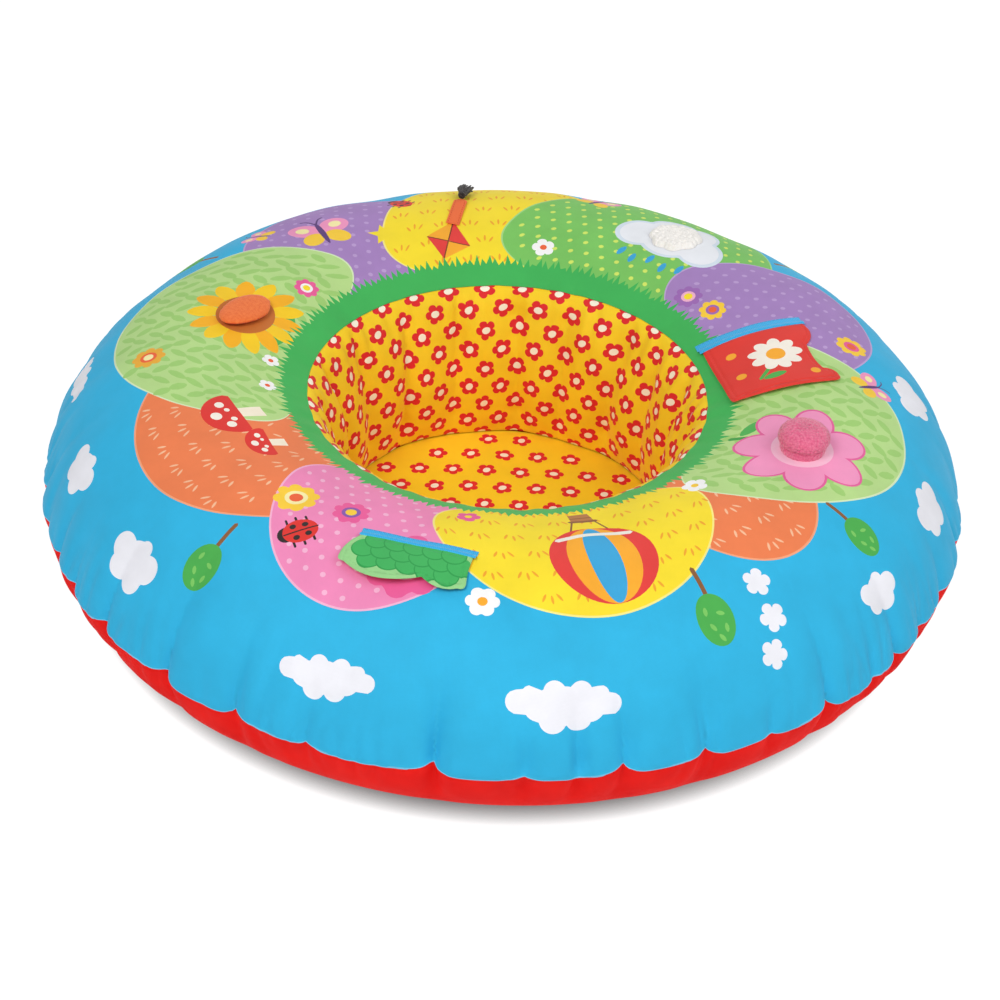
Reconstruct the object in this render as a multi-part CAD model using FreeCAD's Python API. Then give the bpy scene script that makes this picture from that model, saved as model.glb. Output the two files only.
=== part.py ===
import FreeCAD, Part
import math
import os
from FreeCAD import Vector

os.makedirs("parts", exist_ok=True)

# Cushion form, millimetres, +Z up, origin on the floor at the middle of the well, front at -Y
outer_diameter = 900.0
cushion_height = 208.0
crown_radius = 300.0
mouth_radius = 186.0
mouth_drop = 36.0
throat_radius = 158.0
throat_height = 68.0
seam_height = 86.0
seam_draw = 2.0
base_flat_radius = 355.0
zip_height = 18.0
floor_radius = 172.0
floor_edge_height = 10.0
floor_crown = 6.0

# Gathers at the outer seam and folds of the well wall
gather_count = 36
gather_depth = 6.0
fold_count = 18
fold_depth = 9.0
half_share = 0.5

# Cloth, film and the air between pieces
panel_cloth = 2.0
base_cloth = 1.6
wall_cloth = 1.6
floor_cloth = 1.2
ring_film = 1.2
seam_air = 0.2
seam_turn_in = 0.9
mouth_turn_in = 1.2
air = 0.3
overrun = 4.0

# Inflatable ring, welded from gores, and its valve
gore_count = 12
ring_toe_gap = 13.0
ring_heel_inset = 15.0
valve_azimuth = 90.0
valve_air = 0.6
valve_flange_radius = 13.0
valve_flange = 1.6
valve_stem_radius = 7.0
valve_stem_length = 14.0
valve_bore_radius = 4.6
plug_head_radius = 9.0
plug_head = 2.0
plug_pin_length = 9.0

# Zip in the seam between base panel and side band
zip_start = 35.0
zip_sweep = 110.0
zip_slot_half = 4.5
zip_tape_width = 15.0
zip_tape = 0.7
zip_tape_air = 0.7
zip_slit_half = 0.7
coil_width = 2.2
coil_height = 2.1
slider_length = 9.0
slider_half_width = 4.0
slider_plate = 1.2
slider_neck_half = 0.4
bail_half_length = 3.2
bail_post = 0.9
bail_half_width = 0.7
bail_clear = 1.8
bail_bar = 0.8
pull_eye = 0.9
pull_half_width = 3.4
pull_arm = 0.8
pull_reach = 5.0
pull_length = 15.0
stop_length = 3.0

# Red flap, measured along its hinge and away from it
door_radius = 254.0
door_azimuth = 19.9
door_heading = 14.4
door_root_half = 50.0
door_length = 103.0
door_tip_inner = -50.0
door_tip_outer = 58.0
door_notch_reach = 42.0
door_notch_along = 44.0
door_bump = 7.0
door_tip_bow = 4.0
door_corner = 7.0

# Green flap, the same way
leaf_radius = 305.0
leaf_azimuth = -103.4
leaf_heading = -12.5
leaf_root_half = 50.0
leaf_tip_right = 52.0
leaf_tip_left = 62.0
leaf_wave = 14.0
leaf_length = 39.0
leaf_left_length = 33.0
leaf_bump = 6.0
leaf_lobe = 13.0
leaf_side_bow = 3.0

# Make-up of both flaps and their tapes
flap_cloth = 1.2
flap_film = 0.4
flap_air = 0.25
tape_width = 11.0
tape_cloth = 0.9
tape_end = 3.0
tape_gap = 3.4

# Orange padded flap
fin_radius = 271.0
fin_azimuth = 165.6
fin_heading = -126.0
fin_half_length = 33.0
fin_half_width = 19.0
fin_hinge_share = 0.7
fin_cloth = 1.0
fin_swell = 11.0
fin_edge = 2.0
fin_lift = 0.9
fin_seam = 3.0

# Orange tab and its tassel
tab_azimuth = 104.3
tab_heading = 82.0
tab_inner_radius = 271.0
tab_length = 50.0
tab_width = 14.4
tab_cloth = 2.0
knot_radius = 4.0
knot_length = 5.0
tassel_length = 29.0
tassel_root_radius = 3.4
tassel_end_radius = 9.0
tassel_rise = 6.8

# Squeaker
squeaker_radius = 298.0
squeaker_azimuth = -23.0
squeaker_height = 22.0
cap_radius = 24.0
cap_depth = 13.0
cap_cloth = 2.4
cap_round = 7.0
gusset_radius = 21.0
gusset_cloth = 1.4
bulb_radius = 18.0
bulb_wall = 1.2
reed_radius = 6.0
reed_height = 1.6

# Fleece patch
fleece_radius = 306.0
fleece_azimuth = 56.8
fleece_half_width = 26.0
fleece_half_depth = 24.0
fleece_scallops = 8
fleece_pile = 6.5

full_turn = 360.0
sides = 2


def save(shape, node):
    shape.exportStep("parts/" + node + ".step")


# Flat geometry: a point is (distance from the middle, height)
def tangent_centre(point, inward, through):
    along = through[0] - point[0]
    up = through[1] - point[1]
    radius = (along ** 2 + up ** 2) / (sides * (along * inward[0] + up * inward[1]))
    return (point[0] + radius * inward[0], point[1] + radius * inward[1])


def lifted(centre, point, lift):
    reach = math.dist(centre, point)
    grow = (reach + lift) / reach
    return tuple(c + (p - c) * grow for c, p in zip(centre, point))


def halfway(start, end):
    return tuple((s + e) * half_share for s, e in zip(start, end))


def arc_middle(centre, start, end, lift):
    middle = halfway(start, end)
    stretch = math.dist(centre, start) / math.dist(centre, middle)
    on_arc = tuple(c + (m - c) * stretch for c, m in zip(centre, middle))
    return lifted(centre, on_arc, lift)


def turned(centre, point, degrees):
    swing = math.radians(degrees)
    along = point[0] - centre[0]
    up = point[1] - centre[1]
    return (centre[0] + along * math.cos(swing) - up * math.sin(swing),
            centre[1] + along * math.sin(swing) + up * math.cos(swing))


# Out of the flat into space
def in_space(point, azimuth):
    swing = math.radians(azimuth)
    return Vector(point[0] * math.cos(swing), point[0] * math.sin(swing), point[1])


def line(start, end, azimuth):
    return Part.LineSegment(in_space(start, azimuth), in_space(end, azimuth)).toShape()


def arc(start, middle, end, azimuth):
    return Part.Arc(in_space(start, azimuth), in_space(middle, azimuth), in_space(end, azimuth)).toShape()


# A strip of cloth seen edge-on: arcs of (centre, start, end), its outer and inner lifts
def strip(arcs, outer, inner, azimuth=0):
    edges = []
    for centre, start, end in arcs:
        middle = arc_middle(centre, start, end, outer)
        edges.append(arc(lifted(centre, start, outer), middle, lifted(centre, end, outer), azimuth))
    centre, start, end = arcs[-1]
    edges.append(line(lifted(centre, end, outer), lifted(centre, end, inner), azimuth))
    for centre, start, end in reversed(arcs):
        middle = arc_middle(centre, start, end, inner)
        edges.append(arc(lifted(centre, end, inner), middle, lifted(centre, start, inner), azimuth))
    centre, start, end = arcs[0]
    edges.append(line(lifted(centre, start, inner), lifted(centre, start, outer), azimuth))
    return Part.Wire(edges)


def spun(wire, sweep=full_turn):
    return Part.Face(wire).revolve(Vector(0, 0, 0), Vector(0, 0, 1), sweep)


def around_z(shape, azimuth):
    copy = shape.copy()
    copy.rotate(Vector(0, 0, 0), Vector(0, 0, 1), azimuth)
    return copy


# Cloth gathered all round: one lobe lofted from crease to crease, repeated and sewn up
def gathered(full_arcs, drawn_arcs, cloth, count):
    lobe = full_turn / count
    wires = [strip(drawn_arcs, 0, -cloth, -lobe * half_share),
             strip(full_arcs, 0, -cloth),
             strip(drawn_arcs, 0, -cloth, lobe * half_share)]
    one = Part.makeLoft(wires, False, False)
    faces = []
    for index in range(count):
        faces.extend(around_z(one, index * lobe).Faces)
    shell = Part.Shell(faces)
    shell.sewShape()
    return Part.Solid(shell)


# Key points of the cover, edge-on
crown = (crown_radius, cushion_height)
mouth = (mouth_radius, cushion_height - mouth_drop)
seam_full = (outer_diameter / sides - seam_draw, seam_height)
seam_drawn = (seam_full[0] - gather_depth, seam_height)
base_foot = (base_flat_radius, 0)
floor_foot = (floor_radius, floor_edge_height)
crown_inner_centre = tangent_centre(crown, (0, -1), mouth)
base_centre = tangent_centre(base_foot, (0, 1), seam_full)
base_round = base_centre[1]
zip_point = (base_flat_radius + math.sqrt(base_round ** 2 - (base_round - zip_height) ** 2), zip_height)
zip_inward = tuple((c - p) / base_round for c, p in zip(base_centre, zip_point))


def top_arcs(seam):
    outer_centre = tangent_centre(crown, (0, -1), seam)
    return [(crown_inner_centre, mouth, crown), (outer_centre, crown, seam)]


def band_arcs(seam):
    centre = tangent_centre(zip_point, zip_inward, seam)
    slip = math.degrees(seam_turn_in / math.dist(centre, seam))
    return [(centre, turned(centre, seam, -slip), turned(centre, zip_point, slip))]


def wall_arcs(throat):
    upper = tangent_centre(throat, (1, 0), mouth)
    lower = tangent_centre(throat, (1, 0), floor_foot)
    slip = math.degrees(mouth_turn_in / math.dist(upper, mouth))
    return [(upper, turned(upper, mouth, slip), throat), (lower, throat, floor_foot)]


# Top panel, printed cloth, gathered at the outer seam
save(gathered(top_arcs(seam_full), top_arcs(seam_drawn), panel_cloth, gather_count), "top_panel")

# Side band, red, with the slot for the zip
zip_turn = math.degrees(1 / base_round)


def zip_arc(low, high):
    return [(base_centre, turned(base_centre, zip_point, high * zip_turn),
             turned(base_centre, zip_point, low * zip_turn))]


def zip_piece(low, high, outer, inner, start, sweep):
    return around_z(spun(strip(zip_arc(low, high), outer, inner), sweep), start)


zip_slot = zip_piece(-zip_slot_half, zip_slot_half, overrun, -overrun, zip_start, zip_sweep)
side_band = gathered(band_arcs(seam_full), band_arcs(seam_drawn), base_cloth, gather_count)
save(side_band.cut(zip_slot), "side_band")

# Base panel, red, flat on the floor and turned up at its rim
base_rim = [(base_centre, zip_point, base_foot)]
base_edges = [arc(zip_point, arc_middle(base_centre, zip_point, base_foot, 0), base_foot, 0),
              line(base_foot, (0, 0), 0),
              line((0, 0), (0, base_cloth), 0),
              line((0, base_cloth), (base_flat_radius, base_cloth), 0),
              arc((base_flat_radius, base_cloth),
                  arc_middle(base_centre, zip_point, base_foot, -base_cloth),
                  lifted(base_centre, zip_point, -base_cloth), 0),
              line(lifted(base_centre, zip_point, -base_cloth), zip_point, 0)]
save(spun(Part.Wire(base_edges)).cut(zip_slot), "base_panel")

# Well wall, yellow, bulging into the well between folds
throat_full = (throat_radius, throat_height)
throat_fold = (throat_radius + fold_depth, throat_height)
save(gathered(wall_arcs(throat_full), wall_arcs(throat_fold), wall_cloth, fold_count), "well_wall")

# Well floor: cloth over crowned wadding
floor_rim = floor_radius - air
floor_top = floor_edge_height + floor_crown
wadding_foot = base_cloth + seam_air


def floor_dome(rim, drop, foot):
    middle = (0, floor_top - drop)
    edge = (rim, floor_edge_height - drop)
    centre = tangent_centre(middle, (0, -1), edge)
    edges = [arc(middle, arc_middle(centre, middle, edge, 0), edge, 0),
             line(edge, (rim, foot), 0),
             line((rim, foot), (0, foot), 0),
             line((0, foot), middle, 0)]
    return spun(Part.Wire(edges))


wadding_rim = floor_rim - floor_cloth - seam_air
wadding = floor_dome(wadding_rim, floor_cloth + seam_air, wadding_foot)
floor_hollow = floor_dome(wadding_rim + seam_air, floor_cloth, 0)
save(wadding, "well_floor_wadding")
save(floor_dome(floor_rim, 0, wadding_foot).cut(floor_hollow), "well_floor_cover")

# Inflatable ring: hollow film, welded from equal gores, the valve in one of them
def ring_arc(centre, start, end):
    return arc(start, arc_middle(centre, start, end, 0), end, 0)


def ring_points(inset):
    bottom = base_cloth + air + inset
    return {"crown": (crown_radius, cushion_height - panel_cloth - air - inset),
            "mouth": lifted(crown_inner_centre, mouth, -panel_cloth - air - inset),
            "throat": (throat_fold[0] + wall_cloth + air + inset, throat_height),
            "seam": (seam_drawn[0] - panel_cloth - air - inset, seam_height),
            "heel": (base_flat_radius - ring_heel_inset, bottom),
            "toe": (floor_radius + ring_toe_gap + inset, bottom)}


def ring_wire(inset):
    at = ring_points(inset)
    return Part.Wire([
        ring_arc(tangent_centre(at["throat"], (1, 0), at["mouth"]), at["throat"], at["mouth"]),
        ring_arc(tangent_centre(at["crown"], (0, -1), at["mouth"]), at["mouth"], at["crown"]),
        ring_arc(tangent_centre(at["crown"], (0, -1), at["seam"]), at["crown"], at["seam"]),
        ring_arc(tangent_centre(at["heel"], (0, 1), at["seam"]), at["seam"], at["heel"]),
        line(at["heel"], at["toe"], 0),
        ring_arc(tangent_centre(at["throat"], (1, 0), at["toe"]), at["toe"], at["throat"])])


gore_turn = full_turn / gore_count
gore_slip = math.degrees(seam_air / crown_radius)
gore_wall = spun(ring_wire(0), gore_turn - gore_slip).cut(spun(ring_wire(ring_film)))

# Valve on the ring's outer side above the zip, its axis square to the film
ring_at = ring_points(0)
ring_heel_centre = tangent_centre(ring_at["heel"], (0, 1), ring_at["seam"])
heel_middle = arc_middle(ring_heel_centre, ring_at["seam"], ring_at["heel"], 0)
valve_seat = arc_middle(ring_heel_centre, ring_at["seam"], heel_middle, 0)
valve_out = (in_space(valve_seat, valve_azimuth) - in_space(ring_heel_centre, valve_azimuth)).normalize()
valve_foot = in_space(valve_seat, valve_azimuth) + valve_out * valve_air
valve_hole = Part.makeCylinder(valve_stem_radius + seam_air, valve_stem_length,
                               valve_foot + valve_out * overrun, -valve_out)
for index in range(gore_count):
    gore_start = valve_azimuth + gore_turn * (index - half_share) + gore_slip * half_share
    gore = around_z(gore_wall, gore_start).cut(valve_hole)
    save(gore, "ring_gore_" + str(index + 1))
valve = Part.makeCylinder(valve_flange_radius, valve_flange, valve_foot, valve_out)
valve = valve.fuse(Part.makeCylinder(valve_stem_radius, valve_stem_length, valve_foot, -valve_out))
valve_mouth = valve_foot + valve_out * valve_flange
valve_bore = Part.makeCylinder(valve_bore_radius, valve_flange + valve_stem_length + overrun,
                               valve_mouth + valve_out * overrun, -valve_out)
save(valve.cut(valve_bore).removeSplitter(), "ring_valve_body")
plug_foot = valve_mouth + valve_out * seam_air
plug = Part.makeCylinder(plug_head_radius, plug_head, plug_foot, valve_out)
plug_pin = Part.makeCylinder(valve_bore_radius - seam_air, plug_pin_length, plug_foot, -valve_out)
save(plug.fuse(plug_pin).removeSplitter(), "ring_valve_plug")

# Zip: tapes inside the cloth, coils on them, end stops
tape_outer = -base_cloth - zip_tape_air
tape_inner = tape_outer - zip_tape
coil_outer = tape_outer + coil_height
tape_reach = zip_slit_half + zip_tape_width
coil_reach = zip_slit_half + coil_width
save(zip_piece(zip_slit_half, tape_reach, tape_outer, tape_inner, zip_start, zip_sweep), "zip_tape_upper")
save(zip_piece(-tape_reach, -zip_slit_half, tape_outer, tape_inner, zip_start, zip_sweep), "zip_tape_lower")
coil_start = zip_start + math.degrees(stop_length / zip_point[0])
coil_sweep = zip_sweep - math.degrees(stop_length / zip_point[0]) * sides
coil_foot = tape_outer + seam_air * half_share
save(zip_piece(zip_slit_half, coil_reach, coil_outer, coil_foot, coil_start, coil_sweep), "zip_coil_upper")
save(zip_piece(-coil_reach, -zip_slit_half, coil_outer, coil_foot, coil_start, coil_sweep), "zip_coil_lower")
stop_sweep = coil_start - zip_start
stops = [zip_piece(-coil_reach, coil_reach, coil_outer, coil_foot, begin, stop_sweep)
         for begin in (zip_start, coil_start + coil_sweep)]
save(Part.makeCompound(stops), "zip_stops")

# Zip slider: two plates, a neck through the slit, a bail for the pull
per_length = math.degrees(1 / zip_point[0])
slider_middle = coil_start + (slider_length * half_share + air) * per_length


def on_slider(low, high, outer, inner, back, front):
    return zip_piece(low, high, outer, inner, slider_middle + back * per_length, (front - back) * per_length)


slider_half = slider_length * half_share
plate_foot = coil_outer + air
plate_top = plate_foot + slider_plate
inner_top = tape_inner - air
slider = on_slider(-slider_half_width, slider_half_width, plate_top, plate_foot, -slider_half, slider_half)
inner_plate = on_slider(-slider_half_width, slider_half_width, inner_top, inner_top - slider_plate,
                        -slider_half, slider_half)
neck = on_slider(-slider_neck_half, slider_neck_half, plate_top - air, inner_top - air, -slider_half, 0)
bail_low = plate_top + bail_clear
bail_top = bail_low + bail_bar
bail = on_slider(-bail_half_width, bail_half_width, bail_top, bail_low, -bail_half_length, bail_half_length)
posts = [on_slider(-bail_half_width, bail_half_width, bail_low + air, plate_top - air, end, end + bail_post)
         for end in (-bail_half_length, bail_half_length - bail_post)]
save(slider.multiFuse([inner_plate, neck, bail] + posts).removeSplitter(), "zip_slider")

# Zip pull: an eye bar under the bail, two arms and a tab
eye_low = plate_top + (bail_clear - pull_eye) * half_share
eye_top = eye_low + pull_eye
eye_half = pull_eye * half_share
eye = on_slider(-pull_half_width, pull_half_width, eye_top, eye_low, -eye_half, eye_half)
arms = [on_slider(low, low + pull_arm, eye_top, eye_low, -eye_half, pull_reach + pull_arm)
        for low in (-pull_half_width, pull_half_width - pull_arm)]
tab = on_slider(-pull_half_width, pull_half_width, eye_top, eye_low, pull_reach, pull_reach + pull_length)
save(eye.multiFuse(arms + [tab]).removeSplitter(), "zip_pull")


# Sewn-on pieces follow the crown: a plan outline cut out of a layer above the top panel
panel_arcs = top_arcs(seam_full)
plan_top = cushion_height + squeaker_height


def layer(outline, low, high):
    shell = spun(strip(panel_arcs, high, low))
    return shell.common(outline.extrude(Vector(0, 0, plan_top)))


def panel_height(radius):
    centre = panel_arcs[0][0] if radius < crown_radius else panel_arcs[1][0]
    reach = cushion_height - centre[1]
    return centre[1] + math.sqrt(reach ** 2 - (radius - centre[0]) ** 2)


def panel_lean(radius):
    centre = panel_arcs[0][0] if radius < crown_radius else panel_arcs[1][0]
    return math.degrees(math.asin((radius - centre[0]) / (cushion_height - centre[1])))


def seated(shape, radius, azimuth):
    copy = shape.copy()
    copy.rotate(Vector(0, 0, 0), Vector(0, 1, 0), panel_lean(radius))
    copy.translate(Vector(radius, 0, panel_height(radius)))
    return around_z(copy, azimuth)


def plan_map(radius, azimuth, heading):
    spot = in_space((radius, 0), azimuth)
    along = in_space((1, 0), heading)
    away = Vector(along.y, -along.x, 0)

    def place(point):
        return spot + along * point[0] + away * point[1]
    return place


def plan_face(place, pieces):
    edges = []
    for piece in pieces:
        spots = [place(point) for point in piece]
        if len(spots) == sides:
            edges.append(Part.LineSegment(spots[0], spots[1]).toShape())
        else:
            edges.append(Part.Arc(spots[0], spots[1], spots[-1]).toShape())
    return Part.Face(Part.Wire(edges))


def bowed(start, end, bow):
    middle = halfway(start, end)
    span = math.dist(start, end)
    normal = ((end[1] - start[1]) / span, (start[0] - end[0]) / span)
    return [start, (middle[0] + normal[0] * bow, middle[1] + normal[1] * bow), end]


def save_flap(face, name):
    back_top = air + flap_cloth
    film_foot = back_top + flap_air
    film_top = film_foot + flap_film
    front_foot = film_top + flap_air
    save(layer(face, air, back_top), name + "_back")
    save(layer(face, film_foot, film_top), name + "_film")
    save(layer(face, front_foot, front_foot + flap_cloth), name + "_front")


def save_tape(place, root_half, name):
    reach = root_half + tape_end
    corners = [(-reach, -tape_gap), (reach, -tape_gap),
               (reach, -tape_gap - tape_width), (-reach, -tape_gap - tape_width)]
    sides_of = [[corners[index - 1], corners[index]] for index in range(len(corners))]
    save(layer(plan_face(place, sides_of), seam_air, seam_air + tape_cloth), name)


# Red flap with a notched outer edge and two round corners at its tip
door_place = plan_map(door_radius, door_azimuth, door_heading)
door_root_a = (-door_root_half, 0)
door_root_b = (door_root_half, 0)
door_notch = (door_notch_along, door_notch_reach)
door_side_b = (door_tip_outer, door_length - door_corner)
door_tip_b = (door_tip_outer - door_corner, door_length)
door_tip_a = (door_tip_inner + door_corner, door_length)
door_side_a = (door_tip_inner, door_length - door_corner)
corner_bow = door_corner * (math.sqrt(sides) - 1) / sides
door_face = plan_face(door_place, [
    [door_root_a, door_root_b],
    bowed(door_root_b, door_notch, door_bump),
    [door_notch, door_side_b],
    bowed(door_side_b, door_tip_b, corner_bow * sides),
    bowed(door_tip_b, door_tip_a, door_tip_bow),
    bowed(door_tip_a, door_side_a, corner_bow * sides),
    [door_side_a, door_root_a]])
save_flap(door_face, "door_flap")
save_tape(door_place, door_root_half, "door_hinge_tape")

# Green flap with a wavy edge
leaf_place = plan_map(leaf_radius, leaf_azimuth, leaf_heading)
leaf_root_a = (-leaf_root_half, 0)
leaf_root_b = (leaf_root_half, 0)
leaf_right = (leaf_tip_right, leaf_length)
leaf_notch = (leaf_wave, leaf_length)
leaf_left = (-leaf_tip_left, leaf_left_length)
leaf_edges = [[leaf_root_a, leaf_root_b], [leaf_root_b, leaf_right], bowed(leaf_right, leaf_notch, leaf_bump),
              bowed(leaf_notch, leaf_left, leaf_lobe), bowed(leaf_left, leaf_root_a, leaf_side_bow)]
save_flap(plan_face(leaf_place, leaf_edges), "leaf_flap")
save_tape(leaf_place, leaf_root_half, "leaf_hinge_tape")


# Orange padded flap: an oval lens cut straight along its hinge, on the slope into the well
def lens(half_width, swell, foot):
    middle = (0, foot + swell)
    edge = (half_width, foot + fin_edge * half_share)
    centre = tangent_centre(middle, (0, -1), edge)
    edges = [arc(middle, arc_middle(centre, middle, edge, 0), edge, 0),
             line(edge, (half_width, foot), 0),
             line((half_width, foot), (0, foot), 0),
             line((0, foot), middle, 0)]
    oval = FreeCAD.Matrix()
    oval.scale(1, (half_width + fin_half_length - fin_half_width) / half_width, 1)
    return spun(Part.Wire(edges)).transformGeometry(oval)


def seat_fin(shape):
    copy = shape.copy()
    copy.rotate(Vector(0, 0, 0), Vector(0, 0, 1), fin_turn)
    return seated(copy, fin_radius, fin_azimuth)


fin_turn = fin_heading - fin_azimuth + full_turn / sides / sides
fin_hinge = fin_half_width * fin_hinge_share
fin_span = fin_half_length * sides + overrun
fin_box = Part.makeBox(fin_span, fin_span, fin_span, Vector(-fin_hinge, -fin_span * half_share, -overrun))
fin_back_top = fin_lift + fin_cloth
fin_pad_foot = fin_back_top + flap_air
fin_pad_half = fin_half_width - fin_seam
fin_outer = lens(fin_half_width, fin_swell, fin_lift)
fin_back_slab = Part.makeBox(fin_span, fin_span, fin_back_top,
                             Vector(-fin_span * half_share, -fin_span * half_share, 0))
fin_pad_swell = fin_swell - fin_cloth * sides - flap_air * sides
fin_pad_box = Part.makeBox(fin_span, fin_span, fin_span,
                           Vector(-fin_hinge + fin_cloth, -fin_span * half_share, fin_pad_foot))
fin_hollow = lens(fin_pad_half + flap_air, fin_pad_swell + flap_air, fin_pad_foot)
fin_pad = lens(fin_pad_half, fin_pad_swell, fin_pad_foot).common(fin_pad_box)
fin_void = fin_hollow.fuse(fin_back_slab)
save(seat_fin(fin_outer.common(fin_back_slab).common(fin_box)), "fin_back")
save(seat_fin(fin_pad), "fin_wadding")
save(seat_fin(fin_outer.cut(fin_void).common(fin_box)), "fin_front")

# Orange tab over the crown, and the tassel bound to its end
tab_place = plan_map(tab_inner_radius, tab_azimuth, tab_heading)
tab_half = tab_width * half_share
tab_straight = tab_length - tab_half * half_share
tab_root_a = (0, -tab_half)
tab_root_b = (0, tab_half)
tab_end_a = (tab_straight, -tab_half)
tab_end_b = (tab_straight, tab_half)
tab_face = plan_face(tab_place, [
    [tab_root_a, tab_end_a],
    [tab_end_a, (tab_length, 0), tab_end_b],
    [tab_end_b, tab_root_b],
    [tab_root_b, tab_root_a]])
save(layer(tab_face, air, air + tab_cloth), "tail_tab")
tassel_spot = tab_place((tab_length, 0))
tassel_radius = math.hypot(tassel_spot.x, tassel_spot.y)
tassel_azimuth = math.degrees(math.atan2(tassel_spot.y, tassel_spot.x))
along_tab = Vector(1, 0, 0)


def seat_tassel(shape):
    copy = shape.copy()
    copy.rotate(Vector(0, 0, 0), Vector(0, 0, 1), tab_heading - tassel_azimuth)
    return seated(copy, tassel_radius, tassel_azimuth)


knot = Part.makeCylinder(knot_radius, knot_length, Vector(air, 0, tassel_rise), along_tab)
save(seat_tassel(knot), "tail_tassel_knot")
skirt_start = air + knot_length + flap_air
skirt_end = skirt_start + tassel_length
skirt_shoulder = halfway((skirt_start, tassel_root_radius), (skirt_end, tassel_end_radius))
skirt_edges = [Part.LineSegment(Vector(skirt_start, 0, 0), Vector(skirt_start, tassel_root_radius, 0)).toShape(),
               Part.Arc(Vector(skirt_start, tassel_root_radius, 0),
                        Vector(skirt_shoulder[0], skirt_shoulder[1] + flap_cloth, 0),
                        Vector(skirt_end, tassel_end_radius, 0)).toShape(),
               Part.LineSegment(Vector(skirt_end, tassel_end_radius, 0), Vector(skirt_end, 0, 0)).toShape(),
               Part.LineSegment(Vector(skirt_end, 0, 0), Vector(skirt_start, 0, 0)).toShape()]
skirt = Part.Face(Part.Wire(skirt_edges)).revolve(Vector(0, 0, 0), along_tab, full_turn)
skirt.translate(Vector(0, 0, tassel_rise))
save(seat_tassel(skirt), "tail_tassel")

# Squeaker: a terry cap over a cloth gusset, a rubber bulb and its reed inside
squeaker_spot = in_space((squeaker_radius, 0), squeaker_azimuth)
squeaker_seat = panel_height(squeaker_radius)
cap_top = cushion_height + squeaker_height
cap_foot = cap_top - cap_depth
under_panel = spun(strip(panel_arcs, seam_air, -squeaker_height))


def upright(radius, low, high):
    return Part.makeCylinder(radius, high - low, squeaker_spot + Vector(0, 0, low))


cap = upright(cap_radius, cap_foot, cap_top)
cap = cap.makeFillet(cap_round, [cap.Edges[0] if cap.Edges[0].CenterOfMass.z > cap_foot + air else cap.Edges[2]])
cap_ceiling = cap_top - cap_cloth
cap_inside = upright(cap_radius - cap_cloth, cap_foot - overrun, cap_ceiling)
save(cap.cut(cap_inside), "squeaker_cap")
gusset_top = cap_ceiling - air
gusset_low = squeaker_seat - cap_depth
gusset = upright(gusset_radius, gusset_low, gusset_top)
gusset = gusset.cut(upright(gusset_radius - gusset_cloth, gusset_low - overrun, gusset_top + overrun))
save(gusset.cut(under_panel), "squeaker_gusset")
reed_foot = cushion_height + seam_air
save(upright(reed_radius, reed_foot, reed_foot + reed_height), "squeaker_reed")
bulb_foot = reed_foot + reed_height + flap_air
bulb_top = gusset_top - flap_air
bulb = upright(bulb_radius, bulb_foot, bulb_top)
bulb_air = upright(bulb_radius - bulb_wall, bulb_foot + bulb_wall, bulb_top - bulb_wall)
save(bulb.cut(bulb_air), "squeaker_bulb")

# Fleece patch with a scalloped outline
fleece_place = plan_map(fleece_radius, fleece_azimuth, fleece_azimuth)


def fleece_point(index):
    swing = math.radians(full_turn / fleece_scallops * index)
    return (fleece_half_depth * math.cos(swing), fleece_half_width * math.sin(swing))


fleece_ring = [fleece_point(index) for index in range(fleece_scallops)]
fleece_edges = [bowed(fleece_ring[index - 1], fleece_ring[index],
                      math.dist(fleece_ring[index - 1], fleece_ring[index]) * half_share * half_share)
                for index in range(fleece_scallops)]
save(layer(plan_face(fleece_place, fleece_edges), seam_air, seam_air + fleece_pile), "fleece_patch")
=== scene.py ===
import math
import random

import bpy
import numpy as np
from mathutils import Matrix, Vector, geometry, kdtree


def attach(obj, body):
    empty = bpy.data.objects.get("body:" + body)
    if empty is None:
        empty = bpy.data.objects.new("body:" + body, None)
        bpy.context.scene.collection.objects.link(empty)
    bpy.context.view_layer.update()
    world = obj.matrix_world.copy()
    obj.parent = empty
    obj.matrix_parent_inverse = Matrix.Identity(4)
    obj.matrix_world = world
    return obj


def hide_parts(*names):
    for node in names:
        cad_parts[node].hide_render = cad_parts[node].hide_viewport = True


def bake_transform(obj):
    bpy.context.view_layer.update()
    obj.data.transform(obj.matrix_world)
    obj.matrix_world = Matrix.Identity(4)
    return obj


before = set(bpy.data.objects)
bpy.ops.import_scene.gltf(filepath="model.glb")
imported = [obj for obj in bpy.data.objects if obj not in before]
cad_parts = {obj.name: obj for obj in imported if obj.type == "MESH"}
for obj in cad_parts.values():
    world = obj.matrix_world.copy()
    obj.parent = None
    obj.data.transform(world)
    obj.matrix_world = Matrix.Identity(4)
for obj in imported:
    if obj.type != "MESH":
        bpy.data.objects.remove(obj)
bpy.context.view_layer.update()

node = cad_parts

# Inflatable ring
# The ring that holds the cushion open: clear-blue PVC film, cut in twelve gores and welded, blown up
# inside the cover through a valve on its outer side. The film presses against the cloth, so it takes
# the cover's shape a few millimetres further in.
gores = 12
film_inset = 5.0
crown_radius, crown_height = 300.0, 208.0
inner_round, inner_length = 198.5, 121.5
outer_round, panel_length = 150.77, 329.36
base_radius, base_round = 355.0, 93.28
seam_radius, seam_height = 448.0, 86.0
seam_lean = math.atan2(seam_height - base_round, seam_radius - base_radius)
zip_drop = 80.3
foot_drop = (seam_lean + math.pi / 2) * base_round

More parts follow.
